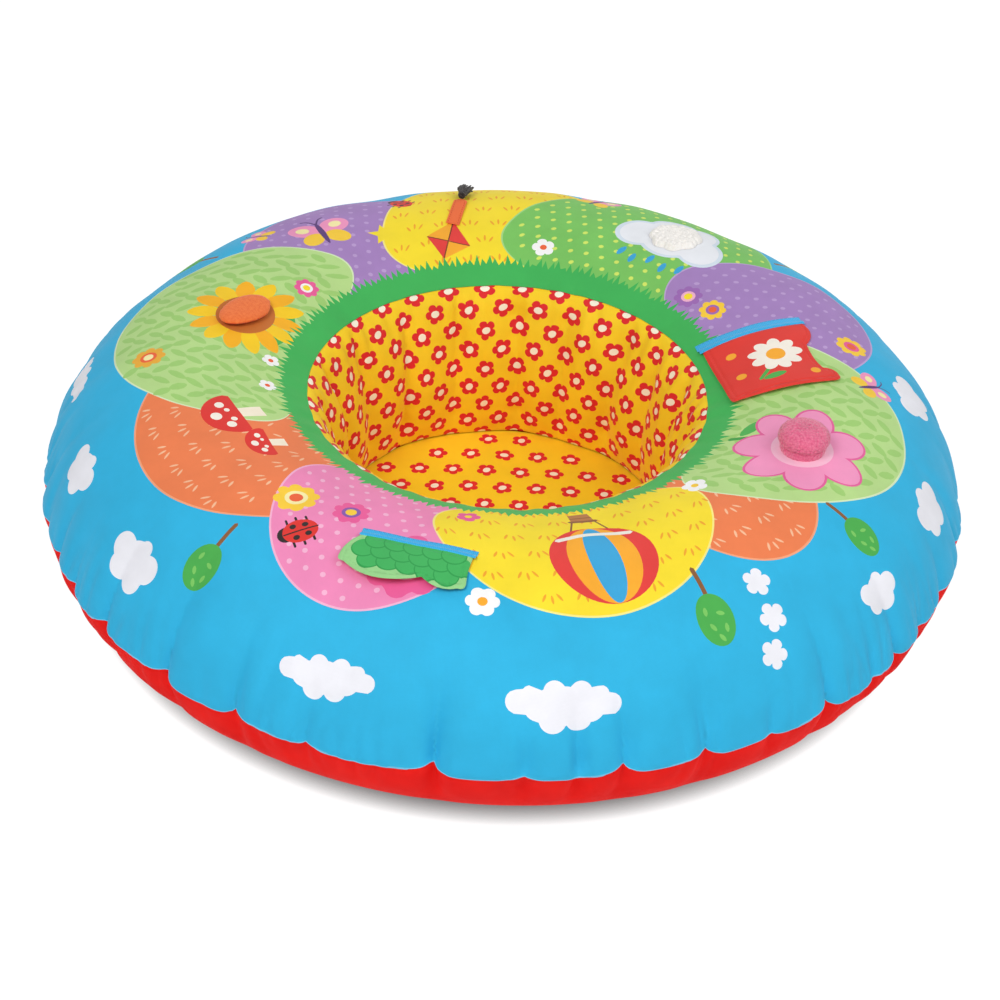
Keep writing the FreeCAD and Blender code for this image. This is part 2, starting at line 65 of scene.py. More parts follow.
# Where the gathered seam is drawn in: azimuth in degrees, depth and run up the panel in millimetres
creases = np.array([
    (-170, 5, 70), (-163, 4, 60), (-156.5, 6, 90), (-150, 6, 80), (-141.7, 8, 120), (-130.2, 9, 140),
    (-120, 8, 110), (-110.5, 4, 70), (-96, 9, 150), (-86, 2.5, 50), (-75, 8, 120), (-65.2, 8, 130),
    (-57, 3, 60), (-48.5, 9, 130), (-41, 3, 60), (-35.7, 7, 110), (-29.5, 5, 80), (-22, 5, 70),
    (-12, 7, 110), (-3, 5, 60), (7, 6, 90), (16, 5, 70), (27, 7, 100), (38, 5, 70), (47, 6, 80),
    (58, 5, 70), (66, 6, 90), (77, 5, 70), (85, 3, 50), (97, 4, 60), (108, 6, 80), (119, 5, 70),
    (128, 7, 100), (139, 5, 70), (149, 6, 80), (160, 5, 70), (170, 6, 90), (179, 5, 70)], float)
creases[:, 0] = np.radians(creases[:, 0])
# Finer folds between them: azimuth, depth, run up the panel, half width and slant
chance = np.random.default_rng(21)
fold_count, longest_fold = 210, 130
fine_folds = np.stack([chance.uniform(-np.pi, np.pi, fold_count), chance.uniform(1.0, 3.2, fold_count),
                       chance.uniform(35, longest_fold, fold_count), chance.uniform(3.6, 7.5, fold_count),
                       chance.uniform(-0.18, 0.18, fold_count)], -1)
# The seam's small teeth, the spread of its creases on panel and band, and the puff and slack of the cloth
usual_crease, tooth_depth, tooth_step, tooth_width = 7, 4.4, 2.2, 7.0
seam_ease, seam_wander = 1.6, 0.6
crease_width, panel_spread, band_spread, band_share = 7.5, 15, 8, 0.6
puff, puff_reach, slack_depth = 3.4, 110, 0.75
rim_depth, rim_reach = 0.7, 24
zip_margin, zip_fade = 6, 40


def around_to(theta, azimuths):
    """Distance in millimetres along the outer seam from each azimuth to each point."""
    return ((theta[..., None] - azimuths + np.pi) % (2 * np.pi) - np.pi) * seam_radius


def seam_run(theta):
    """Distance of the outer seam from the mouth: nearly straight, with a small tooth at each crease."""
    gap = around_to(theta, creases[:, 0])
    side = np.where(np.sin(creases[:, 0] * 37.3) > -0.3, 1.0, -1.0)
    notch = tooth_depth * np.exp(-(np.abs(gap) / tooth_width) ** 1.2)
    step = tooth_step * side * np.tanh(gap / 2.5) * np.exp(-np.abs(gap) / 30)
    tooth = (creases[:, 1] / usual_crease * (notch - step)).sum(-1)
    return panel_length + seam_ease - tooth + seam_wander * np.sin(17 * theta + 1)


def edge_on(run):
    """The cover seen edge-on at a distance from the mouth: radius, height and the two parts of its normal."""
    curve = np.where(run < inner_length, inner_round, outer_round)
    lean = (np.minimum(run, panel_length) - inner_length) / curve
    below = seam_lean - np.maximum(run - panel_length, 0) / base_round
    upper = run <= panel_length
    radius = np.where(upper, crown_radius + curve * np.sin(lean), base_radius + base_round * np.cos(below))
    height = np.where(upper, crown_height - curve * (1 - np.cos(lean)),
                      base_round + base_round * np.sin(below))
    out = np.where(upper, np.sin(lean), np.cos(below))
    up = np.where(upper, np.cos(lean), np.sin(below))
    return radius, height, out, up


def swell(theta, run):
    """How far the cloth stands off its plain round form: creases and fine folds at the gathered seam, and
    slack ripples."""
    off = run - seam_run(theta)
    away = np.abs(off)
    moved = np.zeros(len(theta))
    near = away < creases[:, 2].max()
    far, below = away[near][:, None], off[near][:, None] > 0
    gap = np.abs(around_to(theta[near], creases[:, 0]))
    up = np.clip(far / np.where(below, band_share * creases[:, 2] + 20, creases[:, 2]), 0, 1)
    wide = crease_width + np.where(below, band_spread, panel_spread) * up
    deep = creases[:, 1] * np.where(below, 1.4 - 0.3 * np.exp(-far / 10), 1.1)
    moved[near] -= (deep * (1 - up) ** 1.1 * np.exp(-(gap / wide) ** (1.05 + 0.95 * up))).sum(-1)
    near = away < longest_fold + 1
    far, below = away[near][:, None], off[near][:, None] > 0
    gap = around_to(theta[near], fine_folds[:, 0]) + fine_folds[:, 4] * far
    up = np.clip(far / np.where(below, band_share * fine_folds[:, 2], fine_folds[:, 2]), 0, 1)
    deep = fine_folds[:, 1] * np.where(below, 1.8 - 0.8 * np.exp(-far / 12), 1.0)
    deep = deep * (1 - 0.75 * np.exp(-far / 8))
    moved[near] -= (deep * (1 - up) ** 1.3 * np.exp(-(gap / (fine_folds[:, 3] * (0.7 + up))) ** 2)).sum(-1)
    moved += puff * np.clip(1 - away / puff_reach, 0, 1)
    slack = (np.sin(7 * theta + run / 47) + 0.8 * np.sin(11 * theta - run / 31 + 2)
             + 0.7 * np.sin(19 * theta + run / 60 + 1) + 0.5 * np.sin(29 * theta - run / 22))
    moved += slack_depth * slack * np.clip(1 - np.maximum(off, 0) / 40, 0, 1) * np.clip(run / 60, 0.2, 1)
    rim = np.sin(34 * theta + 2 * np.sin(5 * theta)) + 0.6 * np.sin(53 * theta + 1)
    moved += rim_depth * rim * np.exp(-np.maximum(run, 0) / rim_reach)
    return moved * np.clip((panel_length + zip_drop - zip_margin - run) / zip_fade, 0, 1)


def cover(theta, run, lift=0.0):
    """Points of the cover in millimetres, from azimuth and distance from the mouth."""
    radius, height, out, up = edge_on(run)
    moved = swell(theta, run) + lift
    far = radius + out * moved
    return np.stack([far * np.cos(theta), far * np.sin(theta), height + up * moved], -1)


def run_at(radius):
    """Distance from the mouth at a radius in plan."""
    curve = np.where(radius < crown_radius, inner_round, outer_round)
    return inner_length + curve * np.arcsin(np.clip((radius - crown_radius) / curve, -1, 1))


def panel_top(plan):
    """Height of the panel over points in plan."""
    theta = np.arctan2(plan[..., 1], plan[..., 0])
    run = run_at(np.hypot(plan[..., 0], plan[..., 1]))
    _, height, _, up = edge_on(run)
    return height + swell(theta, run) / np.maximum(up, 0.3)


def mesh_of(name, points, faces):
    """A smooth piece from points in millimetres and their faces."""
    made = bpy.data.meshes.new(name)
    made.from_pydata((np.asarray(points) / 1000).tolist(), [], [list(map(int, f)) for f in faces])
    made.polygons.foreach_set("use_smooth", [True] * len(made.polygons))
    made.update()
    piece = bpy.data.objects.new(name, made)
    bpy.context.scene.collection.objects.link(piece)
    return piece


def lattice(rows, columns, closed_rows=False, closed_columns=False):
    """Four-sided faces of a lattice of points, rows by columns."""
    down = np.arange(rows if closed_rows else rows - 1)
    along = np.arange(columns if closed_columns else columns - 1)
    i, j = np.meshgrid(down, along, indexing="ij")
    i2, j2 = (i + 1) % rows, (j + 1) % columns
    corners = [i * columns + j, i * columns + j2, i2 * columns + j2, i2 * columns + j]
    return np.stack(corners, -1).reshape(-1, 4)


def linear(code):
    """sRGB hex colour as linear colour."""
    parts = [int(code[i:i + 2], 16) / 255 for i in (1, 3, 5)]
    return tuple(p / 12.92 if p <= 0.04045 else ((p + 0.055) / 1.055) ** 2.4 for p in parts) + (1.0,)


def add(tree, kind, inputs={}, **settings):
    """Adds one node with its settings, values and links."""
    made = tree.nodes.new("ShaderNode" + kind)
    for key, value in settings.items():
        setattr(made, key, value)
    for key, value in inputs.items():
        if isinstance(value, bpy.types.NodeSocket):
            tree.links.new(value, made.inputs[key])
        else:
            made.inputs[key].default_value = value
    return made


def finish_of(name):
    """A new material and its empty node tree."""
    made = bpy.data.materials.new(name)
    made.use_nodes = True
    made.node_tree.nodes.clear()
    return made, made.node_tree


def hoop(radius, height, way, spot=(0, 0)):
    """Points of a level circle round a spot, at the given azimuths."""
    return np.stack([spot[0] + radius * np.cos(way), spot[1] + radius * np.sin(way),
                     np.full_like(way, height)], -1)


angle = np.linspace(0, 2 * np.pi, 288, endpoint=False)
outside = np.linspace(14, panel_length + 128, 34)
skin = [cover(angle, np.full_like(angle, run), -film_inset) for run in outside]
for radius, height in ((345, 5), (300, 4.5), (255, 4.5), (215, 6), (197, 20), (191, 45), (188, 75),
                       (190, 105), (194, 132), (198, 152)):
    skin.append(hoop(radius, height, angle))
skin = np.array(skin)
weld_depth, weld_width = 0.006, 0.09
weld = 1 - weld_depth * np.exp(-((np.sin(angle * gores / 2)) / weld_width) ** 2)
tube_radius, tube_height = 318, 90.0
centre = hoop(tube_radius, tube_height, angle)
skin = centre + (skin - centre) * weld[None, :, None]
ring = mesh_of("inflatable_ring", skin.reshape(-1, 3), lattice(len(skin), len(angle), True, True)[:, ::-1])

# Calendered PVC film: smooth and a little milky, with a faint orange-peel from the rollers
pvc, tree = finish_of("calendered_pvc_film")
peel = add(tree, "TexNoise", {"Vector": add(tree, "TexCoord").outputs["Object"], "Scale": 1 / 0.004,
                              "Detail": 3.0})
milk = add(tree, "ValToRGB", {"Fac": peel.outputs["Fac"]})
milk.color_ramp.elements[0].color, milk.color_ramp.elements[1].color = linear("#B9CDD8"), linear("#C9DAE3")
bump = add(tree, "Bump", {"Height": peel.outputs["Fac"], "Strength": 0.2, "Distance": 0.0004})
film = add(tree, "BsdfPrincipled", {"Base Color": milk.outputs["Color"], "Roughness": 0.22, "IOR": 1.53,
                                    "Normal": bump.outputs["Normal"]})
add(tree, "OutputMaterial", {"Surface": film.outputs[0]})
ring.data.materials.append(pvc)
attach(ring, "cover")
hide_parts(*[f"ring_gore_{i + 1}" for i in range(gores)])

# Valve: soft moulded PVC, satin from the mould
moulded, tree = finish_of("moulded_soft_pvc")
grain = add(tree, "TexNoise", {"Vector": add(tree, "TexCoord").outputs["Object"], "Scale": 1 / 0.0012})
tone = add(tree, "ValToRGB", {"Fac": grain.outputs["Fac"]})
tone.color_ramp.elements[0].color, tone.color_ramp.elements[1].color = linear("#DDE3E6"), linear("#EDF1F3")
bump = add(tree, "Bump", {"Height": grain.outputs["Fac"], "Strength": 0.25, "Distance": 0.0002})
shade = add(tree, "BsdfPrincipled", {"Base Color": tone.outputs["Color"], "Roughness": 0.38, "IOR": 1.53,
                                     "Normal": bump.outputs["Normal"]})
add(tree, "OutputMaterial", {"Surface": shade.outputs[0]})
for name in ("ring_valve_body", "ring_valve_plug"):
    node[name].material_slots[0].material = moulded


# Well floor and well wall
# The hollow to sit in: one yellow cotton printed with red flowers, cut as a strip for the wall and a disc
# for the floor. The wall is gathered into the mouth seam, closed at the front and hangs in soft folds, and
# the floor is laid over a round of wadding.
def inside_of(loop):
    """A test that tells which flat points lie within a loop."""
    x1, y1 = loop[:, 0][None], loop[:, 1][None]
    x2, y2 = np.roll(loop[:, 0], -1)[None], np.roll(loop[:, 1], -1)[None]
    rise = np.where(y2 == y1, 1e-12, y2 - y1)

    def test(p):
        x, y = p[:, :1], p[:, 1:2]
        return (((y1 > y) != (y2 > y)) & (x < (x2 - x1) * (y - y1) / rise + x1)).sum(1) % 2 == 1
    return test


def printed_cloth(name, borders, shapes, ground, spacing, inside, place):
    """Cloth meshed along the outlines of its print. Borders and shapes are loops in the flat, in millimetres,
    later shapes lie over earlier ones, inside tells which flat points are cloth, and place puts them in
    space."""
    loops = list(borders) + [loop for loop, _ in shapes]
    outline = np.vstack(loops)
    low, high = np.vstack(borders).min(0), np.vstack(borders).max(0)
    down = np.arange(low[1], high[1] + spacing, spacing * 0.866)
    across = np.arange(low[0], high[0] + spacing, spacing)
    grid = np.stack(np.meshgrid(across, down), -1)
    grid[1::2, :, 0] += spacing / 2
    grid = grid.reshape(-1, 2)
    grid = grid[inside(grid)]
    tree = kdtree.KDTree(len(outline))
    for i, (x, y) in enumerate(outline):
        tree.insert((x, y, 0), i)
    tree.balance()
    clear = [tree.find((x, y, 0))[2] > spacing * 0.38 for x, y in grid]
    grid = grid[np.array(clear, bool)]
    spots = [Vector(p) for p in np.vstack([outline, grid]).tolist()]
    links, start = [], 0
    for loop in loops:
        links += [(start + i, start + (i + 1) % len(loop)) for i in range(len(loop))]
        start += len(loop)
    flat, _, faces, *_ = geometry.delaunay_2d_cdt(spots, links, [], 0, 1e-3, False)
    flat, faces = np.array([(v[0], v[1]) for v in flat]), np.array(faces)
    a, b, c = (flat[faces[:, k]] for k in range(3))
    size = (b[:, 0] - a[:, 0]) * (c[:, 1] - a[:, 1]) - (b[:, 1] - a[:, 1]) * (c[:, 0] - a[:, 0])
    keep = inside(flat[faces].mean(1)) & (np.abs(size) > 1e-5)
    faces = np.where((size < 0)[:, None], faces[:, ::-1], faces)[keep]
    used, faces = np.unique(faces, return_inverse=True)
    faces = faces.reshape(-1, 3)
    flat = flat[used]
    middle = flat[faces].mean(1)
    shades = [ground] + [shade for _, shade in shapes]
    chosen = np.zeros(len(faces), int)
    for k, (loop, _) in enumerate(shapes):
        near = np.where(((middle >= loop.min(0)) & (middle <= loop.max(0))).all(1))[0]
        if len(near):
            chosen[near[inside_of(loop)(middle[near])]] = k + 1
    solid = place(flat)
    step = 0.4
    side_step = place(flat + (step, 0)) - place(flat - (step, 0))
    long_step = place(flat + (0, step)) - place(flat - (0, step))
    up = np.cross(side_step, long_step)
    length = np.linalg.norm(up, axis=1, keepdims=True)
    up = np.where(length > 1e-9, up / np.maximum(length, 1e-9), (0, 0, 1))
    facing = np.cross(solid[faces[:, 1]] - solid[faces[:, 0]], solid[faces[:, 2]] - solid[faces[:, 0]])
    faced = np.zeros_like(solid)
    for k in range(3):
        np.add.at(faced, faces[:, k], facing)
    faced /= np.maximum(np.linalg.norm(faced, axis=1, keepdims=True), 1e-12)
    up = np.where((up * faced).sum(1, keepdims=True) > 0.8, up, faced)
    piece = mesh_of(name, solid, faces)
    shown = np.array([linear(shade) for shade in shades], np.float32)[chosen]
    paint = piece.data.color_attributes.new("print", "FLOAT_COLOR", "CORNER")
    paint.data.foreach_set("color", np.repeat(shown, 3, axis=0).ravel())
    threads = piece.data.uv_layers.new(name="threads")
    threads.data.foreach_set("uv", (flat[faces.ravel()] / 1000).ravel())
    piece.data.normals_split_custom_set_from_vertices(up.tolist())
    return piece


def oval(x, y, wide, high=None, turn=0.0, count=24):
    """Outline of an oval, turned by degrees."""
    high = wide if high is None else high
    way = np.linspace(0, 2 * np.pi, count, endpoint=False)
    px, py = wide * np.cos(way), high * np.sin(way)
    c, s = math.cos(math.radians(turn)), math.sin(math.radians(turn))
    return np.stack([x + c * px - s * py, y + s * px + c * py], -1)


def bloom(x, y, size, petals=5, waist=0.55, turn=0.0, count=50):
    """Outline of a simple flower with round petals."""
    way = np.linspace(0, 2 * np.pi, count, endpoint=False)
    reach = size * (waist + (1 - waist) * np.abs(np.cos(petals * way / 2)) ** 0.55)
    way = way + math.radians(turn)
    return np.stack([x + reach * np.cos(way), y + reach * np.sin(way)], -1)


floor_radius = 172.0
wall_yellow, wall_red, wall_cream = "#FFD722", "#E2252B", "#FFF8E2"
panel_start = 9.5
wall_round = 170.0
wall_span = 2 * np.pi * wall_round
# The wall edge-on, from the mouth down to the floor: radius and height
wall_line = np.array([(195.0, 178.0), (193.8, 177.2), (190.5, 174.9), (186.5, 171.4), (180.5, 163.5),
                      (171.5, 143), (163, 112), (159, 80), (159.5, 55), (163, 32), (168, 17), (171.6, 10.4)])
wall_steps = np.concatenate([[0], np.cumsum(np.linalg.norm(np.diff(wall_line, axis=0), axis=1))])
wall_length = wall_steps[-1]
# The wall's folds: azimuth in degrees and depth
folds = np.array([(-176, 8), (-158, 6), (-141, 9), (-119, 6), (-101, 8), (-84, 6), (-63, 9), (-45, 6),
                  (-24, 8), (-6, 6), (13, 9), (33, 7), (50, 8), (71, 6), (88, 9), (109, 6), (128, 8),
                  (148, 7), (167, 6)], float)
fold_gain, fold_width, fold_start = 1.25, 4.2, 6
gather_depth, gather_reach, sway, wall_ease = 1.7, 45, 1.5, 2.0
lap_in, lap_up = 0.53, 0.85


def well_wall_place(flat):
    """Wall cloth from its strip, x round the well and y down from the mouth."""
    theta = flat[:, 0] / wall_round
    down = np.clip(flat[:, 1], 0, wall_length)
    fine, evened = np.linspace(0, wall_length, 200), 13
    radius, height = (
        np.interp(down, fine, np.convolve(np.pad(np.interp(fine, wall_steps, part), evened // 2, "edge"),
                                          np.ones(evened) / evened, "valid")) for part in wall_line.T)
    turn = np.degrees(theta)
    moved = np.zeros_like(down)
    lap = swell(theta, np.maximum(panel_start + 1.5 - down, 0)) * np.exp(-down / 9) - 0.5 * np.exp(-down / 3)
    for i, (where, depth) in enumerate(folds):
        lean = 5 * np.sin(i * 1.7) * (down / wall_length - 0.4)
        gap = ((turn - where - lean + 180) % 360 - 180) / (fold_width + 1.3 * np.sin(i * 2.3))
        reach = 0.5 + 0.5 * np.sin(i * 1.3)
        grow = np.clip((down - fold_start) / (26 + 26 * reach), 0, 1)
        grow = grow * np.clip((wall_length - down) / 30, 0.15, 1)
        moved += fold_gain * depth * np.exp(-np.abs(gap) ** 1.5) * grow
    gather = np.sin(47 * theta + 2 * np.sin(7 * theta)) + 0.6 * np.sin(71 * theta)
    moved += gather_depth * gather * np.clip((down - fold_start) / 10, 0, 1) * np.exp(-down / gather_reach)
    moved += sway * np.sin(9 * theta + down / 26) * np.clip(down / 40, 0, 1)
    radius = radius + moved - wall_ease * np.clip(down / 50, 0, 1)
    radius = radius - lap_in * lap
    return np.stack([radius * np.cos(theta), radius * np.sin(theta), height + lap_up * lap], -1)


flower_gap, flower_size, row_share = 35.0, 10.6, 0.62
chance = random.Random(5)


def well_flower(x, y):
    """A red flower with a cream heart, turned by chance."""
    turn = chance.uniform(0, 72)
    return [(bloom(x, y, flower_size, 5, 0.66, turn, 40), wall_red),
            (oval(x, y, 4.5, 3.7, turn, 12), wall_cream)]


wall_print = []
around = round(wall_span / flower_gap)
for row in range(int(wall_length / (flower_gap * row_share)) + 2):
    for column in range(around):
        x = (column + 0.5 * (row % 2) + 0.25) * wall_span / around - wall_span / 4
        y = 4 + row * flower_gap * row_share
        if -2 < y < wall_length + 2:
            wall_print += well_flower(x, y)
strip_from, strip_to = -0.25 * wall_span, 0.75 * wall_span
strip = np.array([(strip_from, 0), (strip_to, 0), (strip_to, wall_length), (strip_from, wall_length)])
hem = []
for start, end in zip(strip, np.roll(strip, -1, 0)):
    hem.append(np.linspace(start, end, round(np.linalg.norm(start - end) / 3.0), endpoint=False))
hem = np.vstack(hem)


def on_strip(flat):
    return ((flat[:, 0] > strip_from - 0.01) & (flat[:, 0] < strip_to + 0.01)
            & (flat[:, 1] > -0.01) & (flat[:, 1] < wall_length + 0.01))


well_wall = printed_cloth("well_wall_cloth", [hem], wall_print, wall_yellow, 4.0, on_strip, well_wall_place)

# Printed plain-weave cotton: matt, soft sheen, threads just showing; the thread is 0.4 mm and is drawn at
# 1.1 mm, as fine as it still shows, and the dye is a little uneven. A wave's stripes are 0.314 m apart at
# a scale of 1.
cotton, tree = finish_of("printed_plain_weave_cotton")
wave_pitch = 0.314
thread = 0.0011
uv = add(tree, "UVMap", uv_map="threads")
warp, weft = (add(tree, "TexWave", {"Vector": uv.outputs["UV"], "Scale": wave_pitch / thread,
                                    "Distortion": 0.6, "Detail": 1.0}, bands_direction=direction)
              for direction in ("X", "Y"))
weave = add(tree, "Math", {0: warp.outputs["Fac"], 1: weft.outputs["Fac"]}, operation="ADD")
place_of = add(tree, "TexCoord")
dye = add(tree, "TexNoise", {"Vector": place_of.outputs["Object"], "Scale": 1 / 0.045, "Detail": 5.0,
                             "Roughness": 0.6})
depth_of = add(tree, "MapRange", {"Value": dye.outputs["Fac"], "From Min": 0.3, "From Max": 0.7,
                                  "To Min": 0.93, "To Max": 1.03})
# The threads are painted lighter where they cross and darker between them: painted shade of the weave
painted_thread_shade = add(tree, "MapRange", {"Value": weave.outputs[0], "From Max": 2.0, "To Min": 0.955, "To Max": 1.02})
both = add(tree, "Math", {0: depth_of.outputs[0], 1: painted_thread_shade.outputs[0]}, operation="MULTIPLY")
dyed = add(tree, "Attribute", attribute_name="print")
toned = add(tree, "VectorMath", {0: dyed.outputs["Color"], "Scale": both.outputs[0]}, operation="SCALE")
crumple = add(tree, "TexNoise", {"Vector": place_of.outputs["Object"], "Scale": 1 / 0.028, "Detail": 3.0})
bump_a = add(tree, "Bump", {"Height": crumple.outputs["Fac"], "Strength": 0.25, "Distance": 0.002})
bump_b = add(tree, "Bump", {"Height": weave.outputs[0], "Strength": 0.3, "Distance": 0.00012,
                            "Normal": bump_a.outputs["Normal"]})
shade = add(tree, "BsdfPrincipled", {"Base Color": toned.outputs[0], "Roughness": 0.72, "IOR": 1.47,
                                     "Specular IOR Level": 0.35, "Sheen Weight": 0.08, "Sheen Roughness": 0.4,
                                     "Normal": bump_b.outputs["Normal"]})
add(tree, "OutputMaterial", {"Surface": shade.outputs[0]})
well_wall.data.materials.append(cotton)
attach(well_wall, "cover")
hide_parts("well_wall")

floor_height, floor_dome, floor_row_share, floor_margin = 10.4, 6.0, 0.87, 14
floor_print = []
for row in range(-5, 6):
    for column in range(-5, 6):
        x, y = (column + 0.5 * (row % 2)) * flower_gap, row * flower_gap * floor_row_share
        if math.hypot(x, y) < floor_radius - floor_margin:
            floor_print += well_flower(x, y)


def well_floor_place(flat):
    """Floor cloth from its disc, domed over the wadding."""
    far = np.hypot(flat[:, 0], flat[:, 1]) / floor_radius
    theta = np.arctan2(flat[:, 1], flat[:, 0])
    ripple = (1.2 * np.sin(6 * theta + 5 * far) + 0.8 * np.sin(11 * theta - 7 * far)) * far * (1 - far) * 2
    return np.stack([flat[:, 0], flat[:, 1], floor_height + floor_dome * (1 - far ** 2) + ripple], -1)


def on_floor(flat):
    return np.hypot(flat[:, 0], flat[:, 1]) < floor_radius - 0.2


floor_edge = oval(0, 0, floor_radius - 0.4, count=180)
well_floor = printed_cloth("well_floor_cloth", [floor_edge], floor_print, wall_yellow, 5.0, on_floor,
                           well_floor_place)
well_floor.data.materials.append(cotton)
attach(well_floor, "cover")
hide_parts("well_floor_cover")

# Wadding: white polyester fibre in a lapped web
fibre, tree = finish_of("polyester_wadding")
web = add(tree, "TexNoise", {"Vector": add(tree, "TexCoord").outputs["Object"], "Scale": 1 / 0.003,
                             "Detail": 6.0, "Distortion": 2.0})
tone = add(tree, "ValToRGB", {"Fac": web.outputs["Fac"]})
tone.color_ramp.elements[0].color, tone.color_ramp.elements[1].color = linear("#DEDDD8"), linear("#F4F3EF")
bump = add(tree, "Bump", {"Height": web.outputs["Fac"], "Strength": 0.6, "Distance": 0.001})
shade = add(tree, "BsdfPrincipled", {"Base Color": tone.outputs["Color"], "Roughness": 0.95,
                                     "Sheen Weight": 0.3, "Normal": bump.outputs["Normal"]})
add(tree, "OutputMaterial", {"Surface": shade.outputs[0]})
node["well_floor_wadding"].material_slots[0].material = fibre

# Top panel
# The big printed panel: a flat ring of cotton sewn to the well wall at the mouth and gathered to the red
# band at the outer seam, where it draws in to creases. Its print is a ring of round hills under a blue sky.
sky, cloud_white, grass = "#2BB7E6", "#F5F5FC", "#3FB559"
leaf_pale, leaf_dark = "#BCE08F", "#A3D376"
orange, purple, pink, yellow = "#F28250", "#A985C4", "#F58DBE", "#FFE42E"
sun, coral, cream, rose, plum = "#FFD23E", "#F2663B", "#FFF3B0", "#F0609E", "#A06CB8"
wood, ink, violet, amber, poppy = "#8A5A33", "#241C1C", "#5B3A78", "#FFB02E", "#E8403C"
bush_green, stalk_green, blade_green = "#4BAF4E", "#3E9E47", "#4FB355"
cap_red, petal_pink, petal_white, rain_blue = "#E2352F", "#F79BC6", "#FFF7EA", "#3AA9DE"
# Azimuths in degrees that the print shares with the pieces sewn onto it
fin_azimuth, knob_azimuth, fleece_azimuth = 165.6, -23.0, 56.8
flat_start = 190.0
panel_print = []


def on_panel(azimuth, run, loop, turn=0.0, size=1.0):
    """A motif's outline, x round the ring and y outward in millimetres, laid out on the flat panel."""
    c, s = math.cos(math.radians(turn)) * size, math.sin(math.radians(turn)) * size
    x, y = c * loop[:, 0] - s * loop[:, 1], s * loop[:, 0] + c * loop[:, 1]
    there = run + y
    theta = math.radians(azimuth) + x / edge_on(np.clip(there, 1, panel_length))[0]
    return np.stack([(flat_start + there) * np.cos(theta), (flat_start + there) * np.sin(theta)], -1)


def stroke(points, width):
    """Outline of a brush stroke along a few points, round at both ends."""
    line = np.array(points, float)
    while len(line) < 9 and len(line) > 2:
        bent = [line[0]]
        for a, b in zip(line, line[1:]):
            bent += [0.75 * a + 0.25 * b, 0.25 * a + 0.75 * b]
        line = np.array(bent + [line[-1]])
    way = np.gradient(line, axis=0)
    way /= np.linalg.norm(way, axis=1, keepdims=True)
    side = np.stack([-way[:, 1], way[:, 0]], -1) * width / 2
    return np.vstack([line + side, line[-1:] + way[-1:] * width / 2, (line - side)[::-1],
                      line[:1] - way[:1] * width / 2])


def leaf(x, y, length, width, turn, count=5):
    """Outline of a leaf, turned by degrees."""
    way = np.linspace(0, np.pi, count + 1)
    upper = np.stack([-np.cos(way) * length / 2, np.sin(way) ** 1.3 * width / 2], -1)
    loop = np.vstack([upper, upper[1:-1][::-1] * (1, -1)])
    c, s = math.cos(math.radians(turn)), math.sin(math.radians(turn))
    return np.stack([x + c * loop[:, 0] - s * loop[:, 1], y + s * loop[:, 0] + c * loop[:, 1]], -1)


def joined_discs(discs, count=72):
    """One outline round a few overlapping discs."""
    way = np.linspace(0, 2 * np.pi, count, endpoint=False)
    ray = np.stack([np.cos(way), np.sin(way)], -1)
    reach = np.zeros(count)
    for x, y, size in discs:
        ahead = ray @ np.array((x, y))
        inside = size ** 2 - (x ** 2 + y ** 2 - ahead ** 2)
        reach = np.maximum(reach, np.where(inside > 0, ahead + np.sqrt(np.maximum(inside, 0)), 0))
    return ray * reach[:, None]


def put(azimuth, run, motif, turn=0.0, size=1.0):
    """Adds the shapes of a motif to the panel's print."""
    for loop, shade in motif:
        panel_print.append((on_panel(azimuth, run, loop, turn, size), shade))


def hill(azimuth, half, top, shade, edge, pattern, tint):
    """A round hill with a pale edge, filled with a small all-over pattern."""
    base, foot = 92.0, 78.0
    for wider, tone in ((2.0, edge), (0.0, shade)):
        way = np.linspace(0, 2 * np.pi, 120, endpoint=False)
        high = np.where(np.sin(way) > 0, top - base + wider, foot)
        put(azimuth, base, [(np.stack([(half + wider) * np.cos(way), high * np.sin(way)], -1), tone)])
    step = {"leaves": (19.0, 15.5), "ticks": (30.0, 26.0), "dots": (17.0, 15.0)}[pattern]
    for row in range(-3, int((top - base) / step[1]) + 1):
        for column in range(-14, 15):
            x, y = (column + 0.5 * (row % 2)) * step[0], row * step[1]
            high = top - base if y > 0 else foot
            if (x / (half - 8)) ** 2 + (y / (high - 7)) ** 2 > 1:
                continue
            if pattern == "leaves":
                marks = [leaf(x, y, 20, 9.2, 90 + 34 * (-1) ** (row + column) + 8 * math.sin(x + y))]
            elif pattern == "dots":
                marks = [oval(x, y, 2.6, count=10)]
            else:
                marks = [leaf(x + d * 0.22, y + 4 - abs(d) / 14, 9, 2.4, 90 - d) for d in (-30, 0, 30)]
            put(azimuth, base, [(mark, tint) for mark in marks])


hill(128, 130, 200, purple, "#C3A5D8", "dots", "#BFA0D5")
hill(94, 125, 214, yellow, "#FFF08A", "ticks", "#F6A72C")
hill(60, 150, 222, "#7CC862", "#A5DC8B", "dots", "#D9EE6A")
hill(22, 120, 206, purple, "#C3A5D8", "dots", "#BFA0D5")
hill(-150, 150, 196, orange, "#F8A67C", "ticks", "#FBC29A")
hill(170, 165, 216, leaf_pale, "#DDF0C2", "leaves", leaf_dark)
hill(-112, 105, 206, pink, "#FAB6D6", "dots", "#FBB9D8")
hill(-44, 85, 188, orange, "#F8A67C", "ticks", "#FBC29A")
hill(-75, 128, 192, yellow, "#FFF08A", "ticks", "#F6A72C")
hill(-15, 140, 212, leaf_pale, "#DDF0C2", "leaves", leaf_dark)

